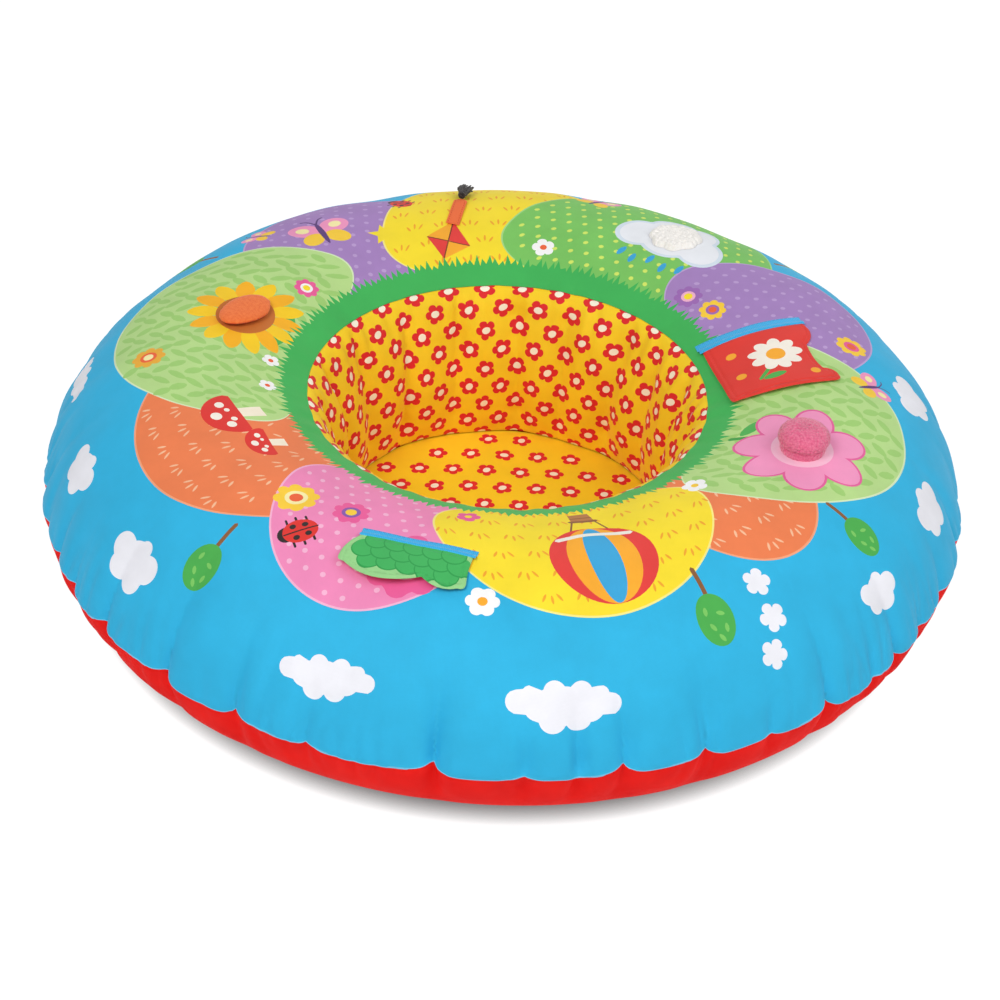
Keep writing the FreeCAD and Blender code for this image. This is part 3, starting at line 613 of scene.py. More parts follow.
# Clouds
small_cloud = joined_discs([(0, -2, 13), (-15, -3, 9.5), (15, -3, 10), (7, 9, 10.5), (-8, 8, 10),
                            (3, -11, 7)])
long_cloud = joined_discs([(0, 0, 13), (-19, 1, 11), (-34, -1, 8.5), (17, 0, 12), (33, 0, 8), (9, 9, 9.5),
                           (-9, 10, 10), (-8, -9, 8), (11, -9, 8), (25, -7, 6.5), (-25, -7, 6)], 96)
for azimuth, run, form, size, turn in (
        (-160.8, 252, small_cloud, 1.15, 8), (-140.9, 258, small_cloud, 1.35, 4),
        (-109.4, 266, long_cloud, 1.05, -4), (-81.6, 266, long_cloud, 1.2, 3),
        (4.1, 226, small_cloud, 1.3, 5), (-17.2, 257, small_cloud, 1.25, -6),
        (30, 262, long_cloud, 0.9, 4), (72, 266, long_cloud, 1.0, -3), (108, 262, small_cloud, 1.2, 3),
        (134, 250, long_cloud, 0.95, 5), (157, 262, small_cloud, 1.2, -4), (178, 256, long_cloud, 0.8, 6),
        (-36, 262, small_cloud, 1.0, 6)):
    put(azimuth, run, [(form, cloud_white)], turn, size)
for azimuth, run, turn in ((-52.8, 196, 10), (-53.2, 230, 40), (-55.0, 260, 20)):
    put(azimuth, run, [(bloom(0, 0, 13.5, 5, 0.62, turn), cloud_white)])


def simple_flower(size, petal, heart, petals=8, ring_of=None):
    """A flower in the round, with or without a ring about its heart."""
    drawn = [(bloom(0, 0, size, petals, 0.72), petal)]
    if ring_of:
        drawn.append((oval(0, 0, size * 0.5, count=18), ring_of))
    return drawn + [(oval(0, 0, size * 0.3, count=14), heart)]


for azimuth, run, size, petal, heart, ring_of in (
        (-128.2, 116, 21, sun, coral, cream), (-117.6, 106, 17, rose, sun, "#8A5BAE"),
        (41.3, 58, 15, plum, yellow, "#F7B6D2"), (33.2, 62, 14, sun, coral, plum),
        (-177.8, 168, 17, "#F2B23A", cream, coral), (12.5, 168, 17, sun, coral, rose),
        (-170, 52, 9, "#FFFFFF", coral, None), (179, 50, 9, "#FFFFFF", coral, None),
        (-97, 60, 11, rose, yellow, None), (-45, 66, 12, "#FFFFFF", sun, None),
        (148, 66, 13, rose, yellow, "#FFFFFF"), (83, 62, 12, "#FFFFFF", coral, None)):
    put(azimuth, run, simple_flower(size, petal, heart, 8 if size > 12 else 5, ring_of))

# Lollipop bushes, upright on the hills' edges
bush = [(stroke([(0, -30), (0.5, -12), (0, 6)], 4.2), wood), (oval(0, 18, 17, 23, 0, 30), bush_green)]
for x, y, lean in ((-7, 10, 1), (6, 14, -1), (-5, 24, 0), (7, 27, 1), (0, 34, 0)):
    bush.append((leaf(x, y, 8, 4, 60 + 40 * lean), "#7ECB63"))
for azimuth, run, size in ((-131, 205, 1.0), (-61, 196, 1.05), (-33, 198, 0.9), (148, 214, 1.0),
                           (41, 214, 1.0)):
    put(azimuth, run, bush, 0, size)

# Balloon on the front hill
balloon = [(stroke([(20 * side, 36), (9 * side, 4)], 1.6), wood) for side in (-1, 1)]
for wide, high, count, shade in ((44, 46, 48, poppy), (29, 45.6, 44, amber), (13, 45.4, 36, rain_blue)):
    balloon.append((oval(0, 66, wide, high, 0, count), shade))
balloon += [(stroke([(-31, 37), (0, 29), (31, 37)], 4.5), "#F6F3E8"),
            (np.array([(-10, 6), (10, 6), (8.5, -12), (-8.5, -12)], float), "#B97A45"),
            (stroke([(-11, 5), (11, 5)], 4), wood), (stroke([(-9, -3), (9, -3)], 1.4), wood)]
put(-73, 62, balloon, 0, 1.08)

# Toadstools and a ladybird on the left hill
stool = [(np.array([(-9, -30), (9, -30), (7, 4), (-7, 4)], float), "#FFF3DC"),
         (np.vstack([oval(0, 0, 33, 30, 0, 40)[:21], [(-30, -5), (30, -5)]]), cap_red)]
for x, y, size in ((0, 17, 6), (-17, 8, 5), (17, 9, 5), (-7, 4, 3), (9, 3, 3.4)):
    stool.append((oval(x, y, size, size * 0.9, 0, 16), petal_white))
put(-157, 96, stool, -6, 1.0)
put(-146, 84, stool, 7, 0.66)
bug = [(stroke([(-reach, y), (reach, y)], 2.2), ink) for reach, y in ((17, 9), (18, 0), (16, -9))]
bug += [(oval(0, 13, 9, 8, 0, 20), ink), (oval(0, 0, 14, 16, 0, 28), cap_red),
        (stroke([(0, 15), (0, -16)], 1.6), ink)]
bug += [(oval(x, y, 3, 3, 0, 12), ink) for x, y in ((-7, 5), (7, 5), (-6, -6), (6, -6))]
put(-122, 150, bug, 38, 1.0)
put(112, 152, bug, -30, 0.8)

# Sunflower whose heart is the orange padded oval
sun_petals = []
for k in range(14):
    w = 2 * math.pi * k / 14
    petal = leaf(60 * math.cos(w) * 0.72, 52 * math.sin(w) * 0.78, 36, 19, math.degrees(w), 7)
    sun_petals.append((petal, "#FFD21F" if k % 2 else "#FFB81C"))
put(fin_azimuth, 92, [(stroke([(6, -20), (2, -42), (8, -58)], 5), stalk_green),
                      (leaf(20, -40, 32, 13, 25, 7), blade_green),
                      (leaf(-14, -42, 30, 12, 160, 7), blade_green)])
put(fin_azimuth, 92, sun_petals + [(oval(0, 0, 33, 29, 0, 36), "#C8702A")])

# Kite whose tail is the orange tab
kite = [(np.array(corners, float), shade) for corners, shade in (
    ([(0, 32), (27, 2), (0, -36), (-27, 2)], poppy), ([(0, 32), (27, 2), (0, 2)], amber),
    ([(0, -36), (-27, 2), (0, 2)], amber))]
kite += [(stroke([(0, 31), (0, -35)], 1.5), "#7A3B22"), (stroke([(-26, 2), (26, 2)], 1.5), "#7A3B22")]
put(106.3, 70, kite, 202.3, 0.86)

# Rain cloud round the fleece patch
rain = [(joined_discs([(0, 0, 38), (-36, -8, 26), (36, -6, 27), (14, 20, 26), (-16, 18, 25)], 110),
         "#DDEAF6"),
        (joined_discs([(0, 0, 34), (-35, -8, 22), (35, -6, 23), (14, 20, 22), (-16, 18, 21)], 110),
         "#F3F6FC")]
for x, y, lean in ((-34, -46, 8), (-16, -52, 0), (2, -47, 5), (20, -53, -4), (36, -46, 6)):
    rain.append((leaf(x, y, 15, 7, 90 + lean, 6), rain_blue))
put(fleece_azimuth, 127, rain)

# Round-petalled flower whose heart is the squeaker
big_petals = []
for wide, high, shade in ((25, 20, "#E8639F"), (22.6, 17.6, petal_pink)):
    for w in np.arange(7) * 2 * math.pi / 7:
        petal = oval(40 * math.cos(w), 40 * math.sin(w), wide, high, math.degrees(w), 26)
        big_petals.append((petal, shade))
put(knob_azimuth, 119.5, [(stroke([(0, -20), (4, -48), (0, -72)], 5), stalk_green),
                          (leaf(20, -56, 32, 13, 28, 7), blade_green),
                          (leaf(-16, -52, 30, 12, 155, 7), blade_green)])
put(knob_azimuth, 119.5, big_petals + [(oval(0, 0, 29, count=36), "#FBC6DD")])


# Butterflies on the purple hills, a star and petals under the green flap
def wing(side):
    return [(oval(11 * side, 7, 12, 9, 35 * side, 22), petal_pink),
            (oval(9 * side, -7, 9, 7, -35 * side, 20), sun),
            (oval(12 * side, 8, 5, 4, 35 * side, 14), cream)]


butterfly = wing(1) + wing(-1) + [(leaf(0, 0, 30, 4.5, 90, 6), violet)]
butterfly += [(stroke([(0, 12), (4 * side, 20), (8 * side, 22)], 1.3), violet) for side in (1, -1)]
for azimuth, run, turn, size in ((131, 128, 14, 1.5), (139, 176, -24, 0.9), (76, 176, 20, 1.1),
                                 (1, 172, -30, 1.0)):
    put(azimuth, run, butterfly, turn, size)
tips = np.arange(10)
reach = np.where(tips % 2, 7.0, 16.0)
star = np.stack([reach * np.sin(tips * np.pi / 5), reach * np.cos(tips * np.pi / 5)], -1)
put(120, 96, [(star, yellow)], 10, 1.1)
put(-104, 148, simple_flower(38, rose, yellow, 8, "#F9B9D6"))
put(-92, 176, simple_flower(15, "#FFFFFF", amber, 6))

# Grass round the mouth, its blades cut out against the hills
blades, blade_foot, blade_tip = 210, 34.5, 43.5
edge_of_grass = []
for k in range(blades):
    theta = 2 * np.pi * k / blades
    tip = blade_tip + 3.5 * math.sin(k * 2.4) + 2.0 * math.sin(k * 5.1)
    foot = blade_foot + 1.5 * math.sin(k * 1.7)
    for share, run in ((0.0, foot), (0.45 + 0.2 * math.sin(k * 3.1), tip)):
        there = theta + share * 2 * np.pi / blades
        edge_of_grass.append(((flat_start + run) * math.cos(there), (flat_start + run) * math.sin(there)))
panel_print.append((np.array(edge_of_grass), grass))

seam_columns = 1440
way = np.linspace(0, 2 * np.pi, seam_columns, endpoint=False)
seam_at = seam_run(way)


def panel_inside(flat):
    far, theta = np.hypot(flat[:, 0], flat[:, 1]) - flat_start, np.arctan2(flat[:, 1], flat[:, 0])
    return (far > panel_start - 0.01) & (far < np.interp(theta, way, seam_at, period=2 * np.pi) + 0.01)


def panel_place(flat):
    return cover(np.arctan2(flat[:, 1], flat[:, 0]), np.hypot(flat[:, 0], flat[:, 1]) - flat_start)


# The last millimetre at the seam is drawn pale
seam_loop = np.stack([(flat_start + seam_at) * np.cos(way), (flat_start + seam_at) * np.sin(way)], -1)
inner_loop = seam_loop * (1 - 1.0 / np.linalg.norm(seam_loop, axis=1, keepdims=True))
panel_print.insert(0, (inner_loop, sky))
mouth_loop = oval(0, 0, flat_start + panel_start, count=360)
top_panel = printed_cloth("top_panel_cloth", [seam_loop, mouth_loop], panel_print, "#74CBEE", 4.6,
                          panel_inside, panel_place)
top_panel.data.materials.append(cotton)
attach(top_panel, "cover")
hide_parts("top_panel")

# Side band and base panel
# The underside: plain red cotton, a band that runs from the gathered outer seam down to the floor's edge,
# and a round panel under it. A zip closes the seam between the two at the back.
zip_half, zip_from, zip_to = 4.5, 35.0, 145.0


def zip_gap(theta):
    """Half the width of the zip's slot, which closes at both ends."""
    turn = np.degrees(theta) % 360
    return zip_half * np.clip((turn - zip_from) / 0.6, 0, 1) * np.clip((zip_to - turn) / 0.6, 0, 1)


rows = []
low, high = seam_at + 0.02, panel_length + zip_drop - zip_gap(way)
for share in np.concatenate([[-0.03], np.linspace(0, 1, 33) ** 1.3]):
    tuck = -0.6 * np.exp(-share / 0.05) if share >= 0 else -2.2
    rows.append(cover(way, low + (high - low) * share, tuck))
side_band = mesh_of("side_band_cloth", np.array(rows).reshape(-1, 3),
                    lattice(len(rows), seam_columns, False, True))
rows = []
low, high = panel_length + zip_drop + zip_gap(way), panel_length + foot_drop
for share in np.linspace(0, 1, 15):
    rows.append(cover(way, low + (high - low) * share))
cloth_floor = 0.2
for radius in (330, 290, 240, 180, 120, 60, 20):
    rows.append(hoop(radius, cloth_floor, way))
rows = np.maximum(np.array(rows), (-1e3, -1e3, cloth_floor))
base_panel = mesh_of("base_panel_cloth", rows.reshape(-1, 3), lattice(len(rows), seam_columns, False, True))

# Dyed plain-weave cotton drill: the same cloth in one strong red, matt with a faint sheen on the folds;
# its 0.5 mm threads are drawn at 1.2 mm so that they show
drill, tree = finish_of("dyed_cotton_drill")
thread = 0.0012
place_of = add(tree, "TexCoord")
twill, cross = (add(tree, "TexWave", {"Vector": place_of.outputs["Object"], "Scale": wave_pitch / thread,
                                      "Distortion": 1.0, "Detail": 1.0}, bands_direction=direction)
                for direction in ("Z", "DIAGONAL"))
weave = add(tree, "Math", {0: twill.outputs["Fac"], 1: cross.outputs["Fac"]}, operation="ADD")
dye = add(tree, "TexNoise", {"Vector": place_of.outputs["Object"], "Scale": 1 / 0.04, "Detail": 5.0})
tone = add(tree, "ValToRGB", {"Fac": dye.outputs["Fac"]})
tone.color_ramp.elements[0].position, tone.color_ramp.elements[1].position = 0.3, 0.7
tone.color_ramp.elements[0].color, tone.color_ramp.elements[1].color = linear("#F01511"), linear("#FF2019")
crumple = add(tree, "TexNoise", {"Vector": place_of.outputs["Object"], "Scale": 1 / 0.022, "Detail": 3.0})
bump_a = add(tree, "Bump", {"Height": crumple.outputs["Fac"], "Strength": 0.35, "Distance": 0.003})
bump_b = add(tree, "Bump", {"Height": weave.outputs[0], "Strength": 0.3, "Distance": 0.00015,
                            "Normal": bump_a.outputs["Normal"]})
shade = add(tree, "BsdfPrincipled", {"Base Color": tone.outputs["Color"], "Roughness": 0.75, "IOR": 1.47,
                                     "Specular IOR Level": 0.15, "Normal": bump_b.outputs["Normal"]})
add(tree, "OutputMaterial", {"Surface": shade.outputs[0]})
for piece, cad in ((side_band, "side_band"), (base_panel, "base_panel")):
    piece.data.materials.append(drill)
    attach(piece, "cover")
    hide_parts(cad)

# Zip
# Red nylon coil zip in the seam at the back: two woven tapes, a coil on each, a painted die-cast slider with
# its pull, and end stops. The tapes are sewn behind the edges of the slot.
# Woven polyester tape: satin, with cross ribs drawn 1.1 mm apart so that they show
webbing, tree = finish_of("woven_polyester_tape")
rib = add(tree, "TexWave", {"Vector": add(tree, "TexCoord").outputs["Object"], "Scale": wave_pitch / 0.0011,
                            "Distortion": 0.4}, bands_direction="Z")
# The ribs are painted lighter on top and darker in the grooves: painted shade
tone = add(tree, "ValToRGB", {"Fac": rib.outputs["Fac"]})
tone.color_ramp.elements[0].color, tone.color_ramp.elements[1].color = linear("#B3151B"), linear("#C91C22")
bump = add(tree, "Bump", {"Height": rib.outputs["Fac"], "Strength": 0.5, "Distance": 0.0002})
shade = add(tree, "BsdfPrincipled", {"Base Color": tone.outputs["Color"], "Roughness": 0.65,
                                     "Normal": bump.outputs["Normal"]})
add(tree, "OutputMaterial", {"Surface": shade.outputs[0]})
# Extruded nylon: the coil's turns are 1.4 mm apart and show as fine ribs, painted lighter on top and darker
# between: painted highlight and shade
nylon, tree = finish_of("extruded_nylon_coil")
coil_girth, coil_pitch = 2576, 1.4
round_it = add(tree, "TexGradient", {"Vector": add(tree, "TexCoord").outputs["Object"]},
               gradient_type="RADIAL")
turns = add(tree, "Math", {0: round_it.outputs["Fac"], 1: 2 * math.pi * coil_girth / coil_pitch},
            operation="MULTIPLY")
turns = add(tree, "Math", {0: turns.outputs[0]}, operation="SINE")
tone = add(tree, "MapRange", {"Value": turns.outputs[0], "From Min": -1.0})
ramp = add(tree, "ValToRGB", {"Fac": tone.outputs[0]})
ramp.color_ramp.elements[0].color, ramp.color_ramp.elements[1].color = linear("#8E1217"), linear("#D93A3C")
bump = add(tree, "Bump", {"Height": tone.outputs[0], "Strength": 0.9, "Distance": 0.0005})
shade = add(tree, "BsdfPrincipled", {"Base Color": ramp.outputs["Color"], "Roughness": 0.35, "IOR": 1.53,
                                     "Normal": bump.outputs["Normal"]})
add(tree, "OutputMaterial", {"Surface": shade.outputs[0]})
# Die-cast zinc under red enamel: even, glossy, with a faint orange-peel
enamel, tree = finish_of("enamelled_zinc")
peel = add(tree, "TexNoise", {"Vector": add(tree, "TexCoord").outputs["Object"], "Scale": 1 / 0.0015})
tone = add(tree, "ValToRGB", {"Fac": peel.outputs["Fac"]})
tone.color_ramp.elements[0].color, tone.color_ramp.elements[1].color = linear("#B81820"), linear("#CC222A")
bump = add(tree, "Bump", {"Height": peel.outputs["Fac"], "Strength": 0.2, "Distance": 0.0001})
shade = add(tree, "BsdfPrincipled", {"Base Color": tone.outputs["Color"], "Roughness": 0.28, "IOR": 1.5,
                                     "Coat Weight": 0.4, "Coat Roughness": 0.1,
                                     "Normal": bump.outputs["Normal"]})
add(tree, "OutputMaterial", {"Surface": shade.outputs[0]})
for names, made in ((("zip_tape_upper", "zip_tape_lower"), webbing),
                    (("zip_coil_upper", "zip_coil_lower"), nylon),
                    (("zip_stops", "zip_slider", "zip_pull"), enamel)):
    for name in names:
        node[name].material_slots[0].material = made


# Red and green lift-up flaps
# Two play flaps: front and back of cotton with a crackling film between, sewn round the edge and turned
# out, then fixed along one side to the panel under a blue tape, so that they lift like a page.
def bow(start, middle, end, count=9):
    """Points of a shallow arc through three points, without the last."""
    a, m, b = (np.array(p, float) for p in (start, middle, end))
    t = np.linspace(0, 1, count, endpoint=False)[:, None]
    return (1 - t) ** 2 * a + 2 * t * (1 - t) * (2 * m - (a + b) / 2) + t ** 2 * b


def bulged(start, end, depth, count=9):
    """Points of a shallow arc between two points, as deep as given, without the last."""
    a, b = np.array(start, float), np.array(end, float)
    span = np.linalg.norm(b - a)
    normal = np.array(((b - a)[1], -(b - a)[0])) / span
    return bow(a, (a + b) / 2 + normal * depth, b, count)


def toward(azimuth):
    """Unit vector in plan at an azimuth in degrees."""
    return np.array((math.cos(math.radians(azimuth)), math.sin(math.radians(azimuth))))


def plan_of(radius, azimuth, heading):
    """From millimetres along a hinge and away from it to the plan of the cushion."""
    spot = radius * toward(azimuth)
    along = toward(heading)
    away = np.array((along[1], -along[0]))
    return lambda p: spot + p[..., :1] * along + p[..., 1:2] * away


def from_edge(flat, loop):
    """Distance of flat points from a loop."""
    a, b = loop[None], np.roll(loop, -1, 0)[None]
    p = flat[:, None]
    share = np.clip(((p - a) * (b - a)).sum(-1) / np.maximum(((b - a) ** 2).sum(-1), 1e-9), 0, 1)
    return np.linalg.norm(p - a - share[..., None] * (b - a), axis=-1).min(1)


stitch_width, stitch_dip = 1.0, 0.5


def sewn_layer(name, loop, plan, raised, edge_lift, full_lift, round_off, shapes, ground, spacing=2.2,
               stitch=4.5):
    """One layer of a flap: follows the panel, rounds to its sewn edge, and dips at the stitch line."""
    def place(flat):
        far = from_edge(flat, loop)
        rounded = np.sqrt(np.clip(1 - (1 - np.clip(far / round_off, 0, 1)) ** 2, 0, 1))
        dip = np.exp(-((far - stitch) / stitch_width) ** 2) * stitch_dip
        lift = edge_lift + (full_lift - edge_lift) * np.clip(rounded - dip, 0, 1) + raised(flat)
        spot = plan(flat)
        return np.concatenate([spot, (panel_top(spot) + lift)[:, None]], 1)
    return printed_cloth(name, [loop], shapes, ground, spacing, inside_of(loop), place)


# Crackling film: thin clear polypropylene, glossy
crackle, tree = finish_of("clear_polypropylene_film")
creased = add(tree, "TexVoronoi", {"Vector": add(tree, "TexCoord").outputs["Object"], "Scale": 1 / 0.012},
              feature="DISTANCE_TO_EDGE")
# Darker along the creases: painted shade
tone = add(tree, "ValToRGB", {"Fac": creased.outputs["Distance"]})
tone.color_ramp.elements[0].color, tone.color_ramp.elements[1].color = linear("#DCE6EA"), linear("#F2F6F8")
bump = add(tree, "Bump", {"Height": creased.outputs["Distance"], "Strength": 0.6, "Distance": 0.001})
shade = add(tree, "BsdfPrincipled", {"Base Color": tone.outputs["Color"], "Roughness": 0.15, "IOR": 1.49,
                                     "Normal": bump.outputs["Normal"]})
add(tree, "OutputMaterial", {"Surface": shade.outputs[0]})

door_loop = np.vstack([[(-50.0, 0.0)]] + [bulged(*side) for side in (
    ((50, 0), (43, 40), 7), ((43, 40), (46, 82), -1.5), ((46, 82), (58, 93), 3), ((58, 93), (51, 104), 3),
    ((51, 104), (-44, 104), 5, 15), ((-44, 104), (-51, 97), 3), ((-51, 97), (-50, 0), -1))])
door_plan = plan_of(254.0, 19.9, 14.4)
leaf_loop = np.vstack([[(-50.0, 0.0)]] + [bulged(*side) for side in (
    ((50, 0), (52, 33), -1), ((52, 33), (46, 39.5), 2.5), ((46, 39.5), (14, 38), 5, 11),
    ((14, 38), (-56, 36), 13, 18), ((-56, 36), (-62, 29), 2.5), ((-62, 29), (-50, 0), 3))])
leaf_plan = plan_of(305.0, -103.4, -12.5)
daisy = [(oval(8 + 17 * math.cos(w), 50 + 17 * math.sin(w), 10, 6.5, math.degrees(w), 18), petal_white)
         for w in np.arange(9) * 2 * math.pi / 9]
door_print = [(oval(x, y, 5, count=14), amber) for x, y in ((-30, 30), (-32, 70), (36, 88))]
door_print += [(stroke([(8, 50), (-4, 70), (-18, 86)], 4), bush_green),
               (leaf(-4, 86, 24, 10, -10, 6), bush_green)]
door_print += daisy + [(oval(8, 50, 9.5, count=20), amber)]
leaf_print = []
for row in (2, 1, 0):
    for k in range(-3, 4):
        x, y = k * 17 + (8.5 if row % 2 else 0), 6 + row * 12.5
        if abs(x) < 46 - 3 * row:
            leaf_print += [(oval(x, y, 11.5, 11.5, 0, 26), "#2F9E4E"),
                           (oval(x, y - 0.9, 10.6, 10.8, 0, 26), "#41B45E")]
for flap, loop, plan, tip, height, shapes, ground, under, slot_name, flat, film_share in (
        ("door_flap", door_loop, door_plan, 104.0, 2.0, door_print, "#E63A31", "#F2B23A", "flap_red",
         (0.108, 0.108), (0.33, 0.36)),
        ("leaf_flap", leaf_loop, leaf_plan, 46.0, 5.5, leaf_print, "#9AD78E", "#E8453B", "flap_green",
         (0.112, 0.048), (0.38, 0.23))):
    def raised(p, tip=tip, height=height):
        out = np.clip(p[:, 1] / tip, 0, 1.1)
        curl = height * (1 - 0.45 * np.sin(p[:, 0] / 30)) * out ** 1.6
        return 0.7 + curl + 0.8 * np.sin(p[:, 0] / 17 + 1) * out
    front = sewn_layer(flap + "_front_cloth", loop, plan, raised, 1.3, 3.2, 4.0, shapes, ground)
    back = sewn_layer(flap + "_back_cloth", loop, plan, raised, 1.3, 0.2, 4.0, [], under)
    back.data.flip_normals()
    middle = (loop.min(0) + loop.max(0)) / 2
    inner = oval(*middle, *((loop.max(0) - loop.min(0)) * film_share), 0, 40)
    film = sewn_layer(flap + "_crackle_film", inner, plan, raised, 1.6, 1.7, 4.0, [], "#FFFFFF", 6.0)
    for piece, cad, slot_of, made in ((front, "_front", slot_name, cotton),
                                      (back, "_back", slot_name, cotton),
                                      (film, "_film", "crinkle_film", crackle)):
        piece.data.materials.append(made)
        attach(piece, flap)
        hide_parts(flap + cad)
        share = 2 * np.array(film_share) if piece is film else (1.0, 1.0)
        wide, long = float(flat[0] * share[0]), float(flat[1] * share[1])

# Blue grosgrain tape: cross ribs 1.3 mm apart, drawn at 1.6 mm so that they show, and two rows of stitches
grosgrain, tree = finish_of("blue_grosgrain_tape")
uv = add(tree, "UVMap", uv_map="threads")
ribs = add(tree, "TexWave", {"Vector": uv.outputs["UV"], "Scale": wave_pitch / 0.0016, "Distortion": 0.3},
           bands_direction="X")
dyed = add(tree, "Attribute", attribute_name="print")
# The ribs' tops are painted lighter and their grooves darker: painted shade
lit = add(tree, "MapRange", {"Value": ribs.outputs["Fac"], "To Min": 0.9, "To Max": 1.06})
toned = add(tree, "VectorMath", {0: dyed.outputs["Color"], "Scale": lit.outputs[0]}, operation="SCALE")
bump = add(tree, "Bump", {"Height": ribs.outputs["Fac"], "Strength": 0.6, "Distance": 0.0003})
shade = add(tree, "BsdfPrincipled", {"Base Color": toned.outputs[0], "Roughness": 0.55, "Sheen Weight": 0.15,
                                     "Normal": bump.outputs["Normal"]})
add(tree, "OutputMaterial", {"Surface": shade.outputs[0]})
stitch_length, stitch_gap = 2.6, 4.2
tape_foot, tape_swell, tape_rise, tape_round = 0.4, 1.0, 3.2, 1.2
rise_from, rise_run = 4.5, 5.0
for flap, plan, half, low, high in (("door_flap", door_plan, 53.0, -14.0, 4.5),
                                    ("leaf_flap", leaf_plan, 52.0, -10.5, 2.5)):
    loop = np.array([(-half, low), (half, low), (half, high), (-half, high)])
    dense = np.vstack([np.linspace(loop[k], loop[(k + 1) % 4], 40, endpoint=False) for k in range(4)])
    stitches = []
    for row in (low + 2.2, high - 5.5 if flap == "door_flap" else high - 3.0):
        for x in np.arange(-half + 2, half - 3, stitch_gap):
            stitches.append((stroke([(x, row), (x + stitch_length, row)], 0.9), "#1C86C4"))

    def place(flat, plan=plan, loop=loop):
        over = np.clip((flat[:, 1] + rise_from) / rise_run, 0, 1)
        over = over * over * (3 - 2 * over)
        far = np.clip(from_edge(flat, loop) / tape_round, 0, 1)
        spot = plan(flat)
        lift = tape_foot + tape_swell * np.sqrt(1 - (1 - far) ** 2) + tape_rise * over
        return np.concatenate([spot, (panel_top(spot) + lift)[:, None]], 1)
    tape = printed_cloth(flap + "_blue_tape", [dense], stitches, "#1FAFEA", 2.0, inside_of(loop), place)
    tape.data.materials.append(grosgrain)
    spot = [np.array([(0.0, v)]) for v in (-2.5, 2.0)]
    ends = [np.append(plan(p)[0], panel_top(plan(p))[0] + 2.0) / 1000 for p in spot]
    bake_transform(tape)
    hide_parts(flap.replace("_flap", "_hinge_tape"))


# Orange padded flap
# A stuffed oval of orange cotton: front and back sewn together, turned out and filled with wadding, then
# sewn to the panel along one side.
def stuffed(piece, voxel, cap, pressure=4.0, settle_frames=20):
    """Swells a closed form under inner pressure as cloth, no point moving further than the cap."""
    bpy.context.view_layer.objects.active = piece
    remesh = piece.modifiers.new("even_threads", "REMESH")
    remesh.mode, remesh.voxel_size = "VOXEL", voxel / 1000
    graph = bpy.context.evaluated_depsgraph_get()
    even = bpy.data.meshes.new_from_object(piece.evaluated_get(graph))
    piece.modifiers.clear()
    piece.data = even
    before = np.empty(len(even.vertices) * 3)
    even.vertices.foreach_get("co", before)
    cloth = piece.modifiers.new("cloth", "CLOTH")
    cloth.settings.use_pressure = True
    cloth.settings.uniform_pressure_force = pressure
    cloth.settings.effector_weights.gravity = 0
    cloth.settings.quality = 6
    scene = bpy.context.scene
    for step in range(1, settle_frames + 1):
        scene.frame_set(step)
    graph = bpy.context.evaluated_depsgraph_get()
    blown = bpy.data.meshes.new_from_object(piece.evaluated_get(graph))
    after = np.empty(len(blown.vertices) * 3)
    blown.vertices.foreach_get("co", after)
    piece.modifiers.clear()
    scene.frame_set(1)
    move = (after - before).reshape(-1, 3)
    far = np.linalg.norm(move, axis=1, keepdims=True)
    move *= np.minimum(1, cap / 1000 / np.maximum(far, 1e-9))
    return before.reshape(-1, 3) * 1000 + move * 1000


fin_radius, fin_half_width, fin_half_length = 271.0, 19.5, 33
fin_seam, fin_swell, fin_stand, fin_air = 1.2, 4.6, 4.4, 0.9
fin_spot = fin_radius * toward(fin_azimuth)
fin_free = toward(-36.2)
fin_side = np.array((-fin_free[1], fin_free[0]))
fin_columns = 64
way = np.linspace(0, 2 * np.pi, fin_columns, endpoint=False)
fin_loop = np.stack([fin_half_width * np.cos(way), fin_half_length * np.sin(way)], -1)
rings = [0.0, 0.35, 0.6, 0.8, 0.92, 1.0]
points = []
for side in (1, -1):
    for share in (rings if side == 1 else rings[:-1][::-1]):
        flat = fin_loop * max(share, 0.02) + np.array((2.0, 0)) * (1 - share)
        top = fin_seam + fin_swell * side * math.sqrt(max(1 - share ** 2.4, 0)) + fin_stand
        spot = fin_spot + flat[:, :1] * fin_free + flat[:, 1:] * fin_side
        points.append(np.concatenate([spot, (panel_top(spot) + top)[:, None]], 1))
points = np.array(points)
fin = mesh_of("fin_flap_cushion", points.reshape(-1, 3), lattice(len(points), fin_columns, False, True))
blown = stuffed(fin, voxel=2.4, cap=5.0)
floor_of = panel_top(blown[:, :2]) + fin_air
blown[:, 2] = np.maximum(blown[:, 2], floor_of)
fin.data.vertices.foreach_set("co", (blown / 1000).ravel())
fin.data.polygons.foreach_set("use_smooth", [True] * len(fin.data.polygons))
fin.data.update()
fin.modifiers.new("smooth", "SUBSURF").levels = 1
fin.modifiers["smooth"].render_levels = 1
fin_points = np.array([point.co for point in fin.data.vertices]) * 1000
under_seam = np.clip((panel_top(fin_points[:, :2]) + 5.0 - fin_points[:, 2]) / 0.8, 0, 1)
fin.data.attributes.new("back_cloth", "FLOAT", "POINT").data.foreach_set("value", under_seam)
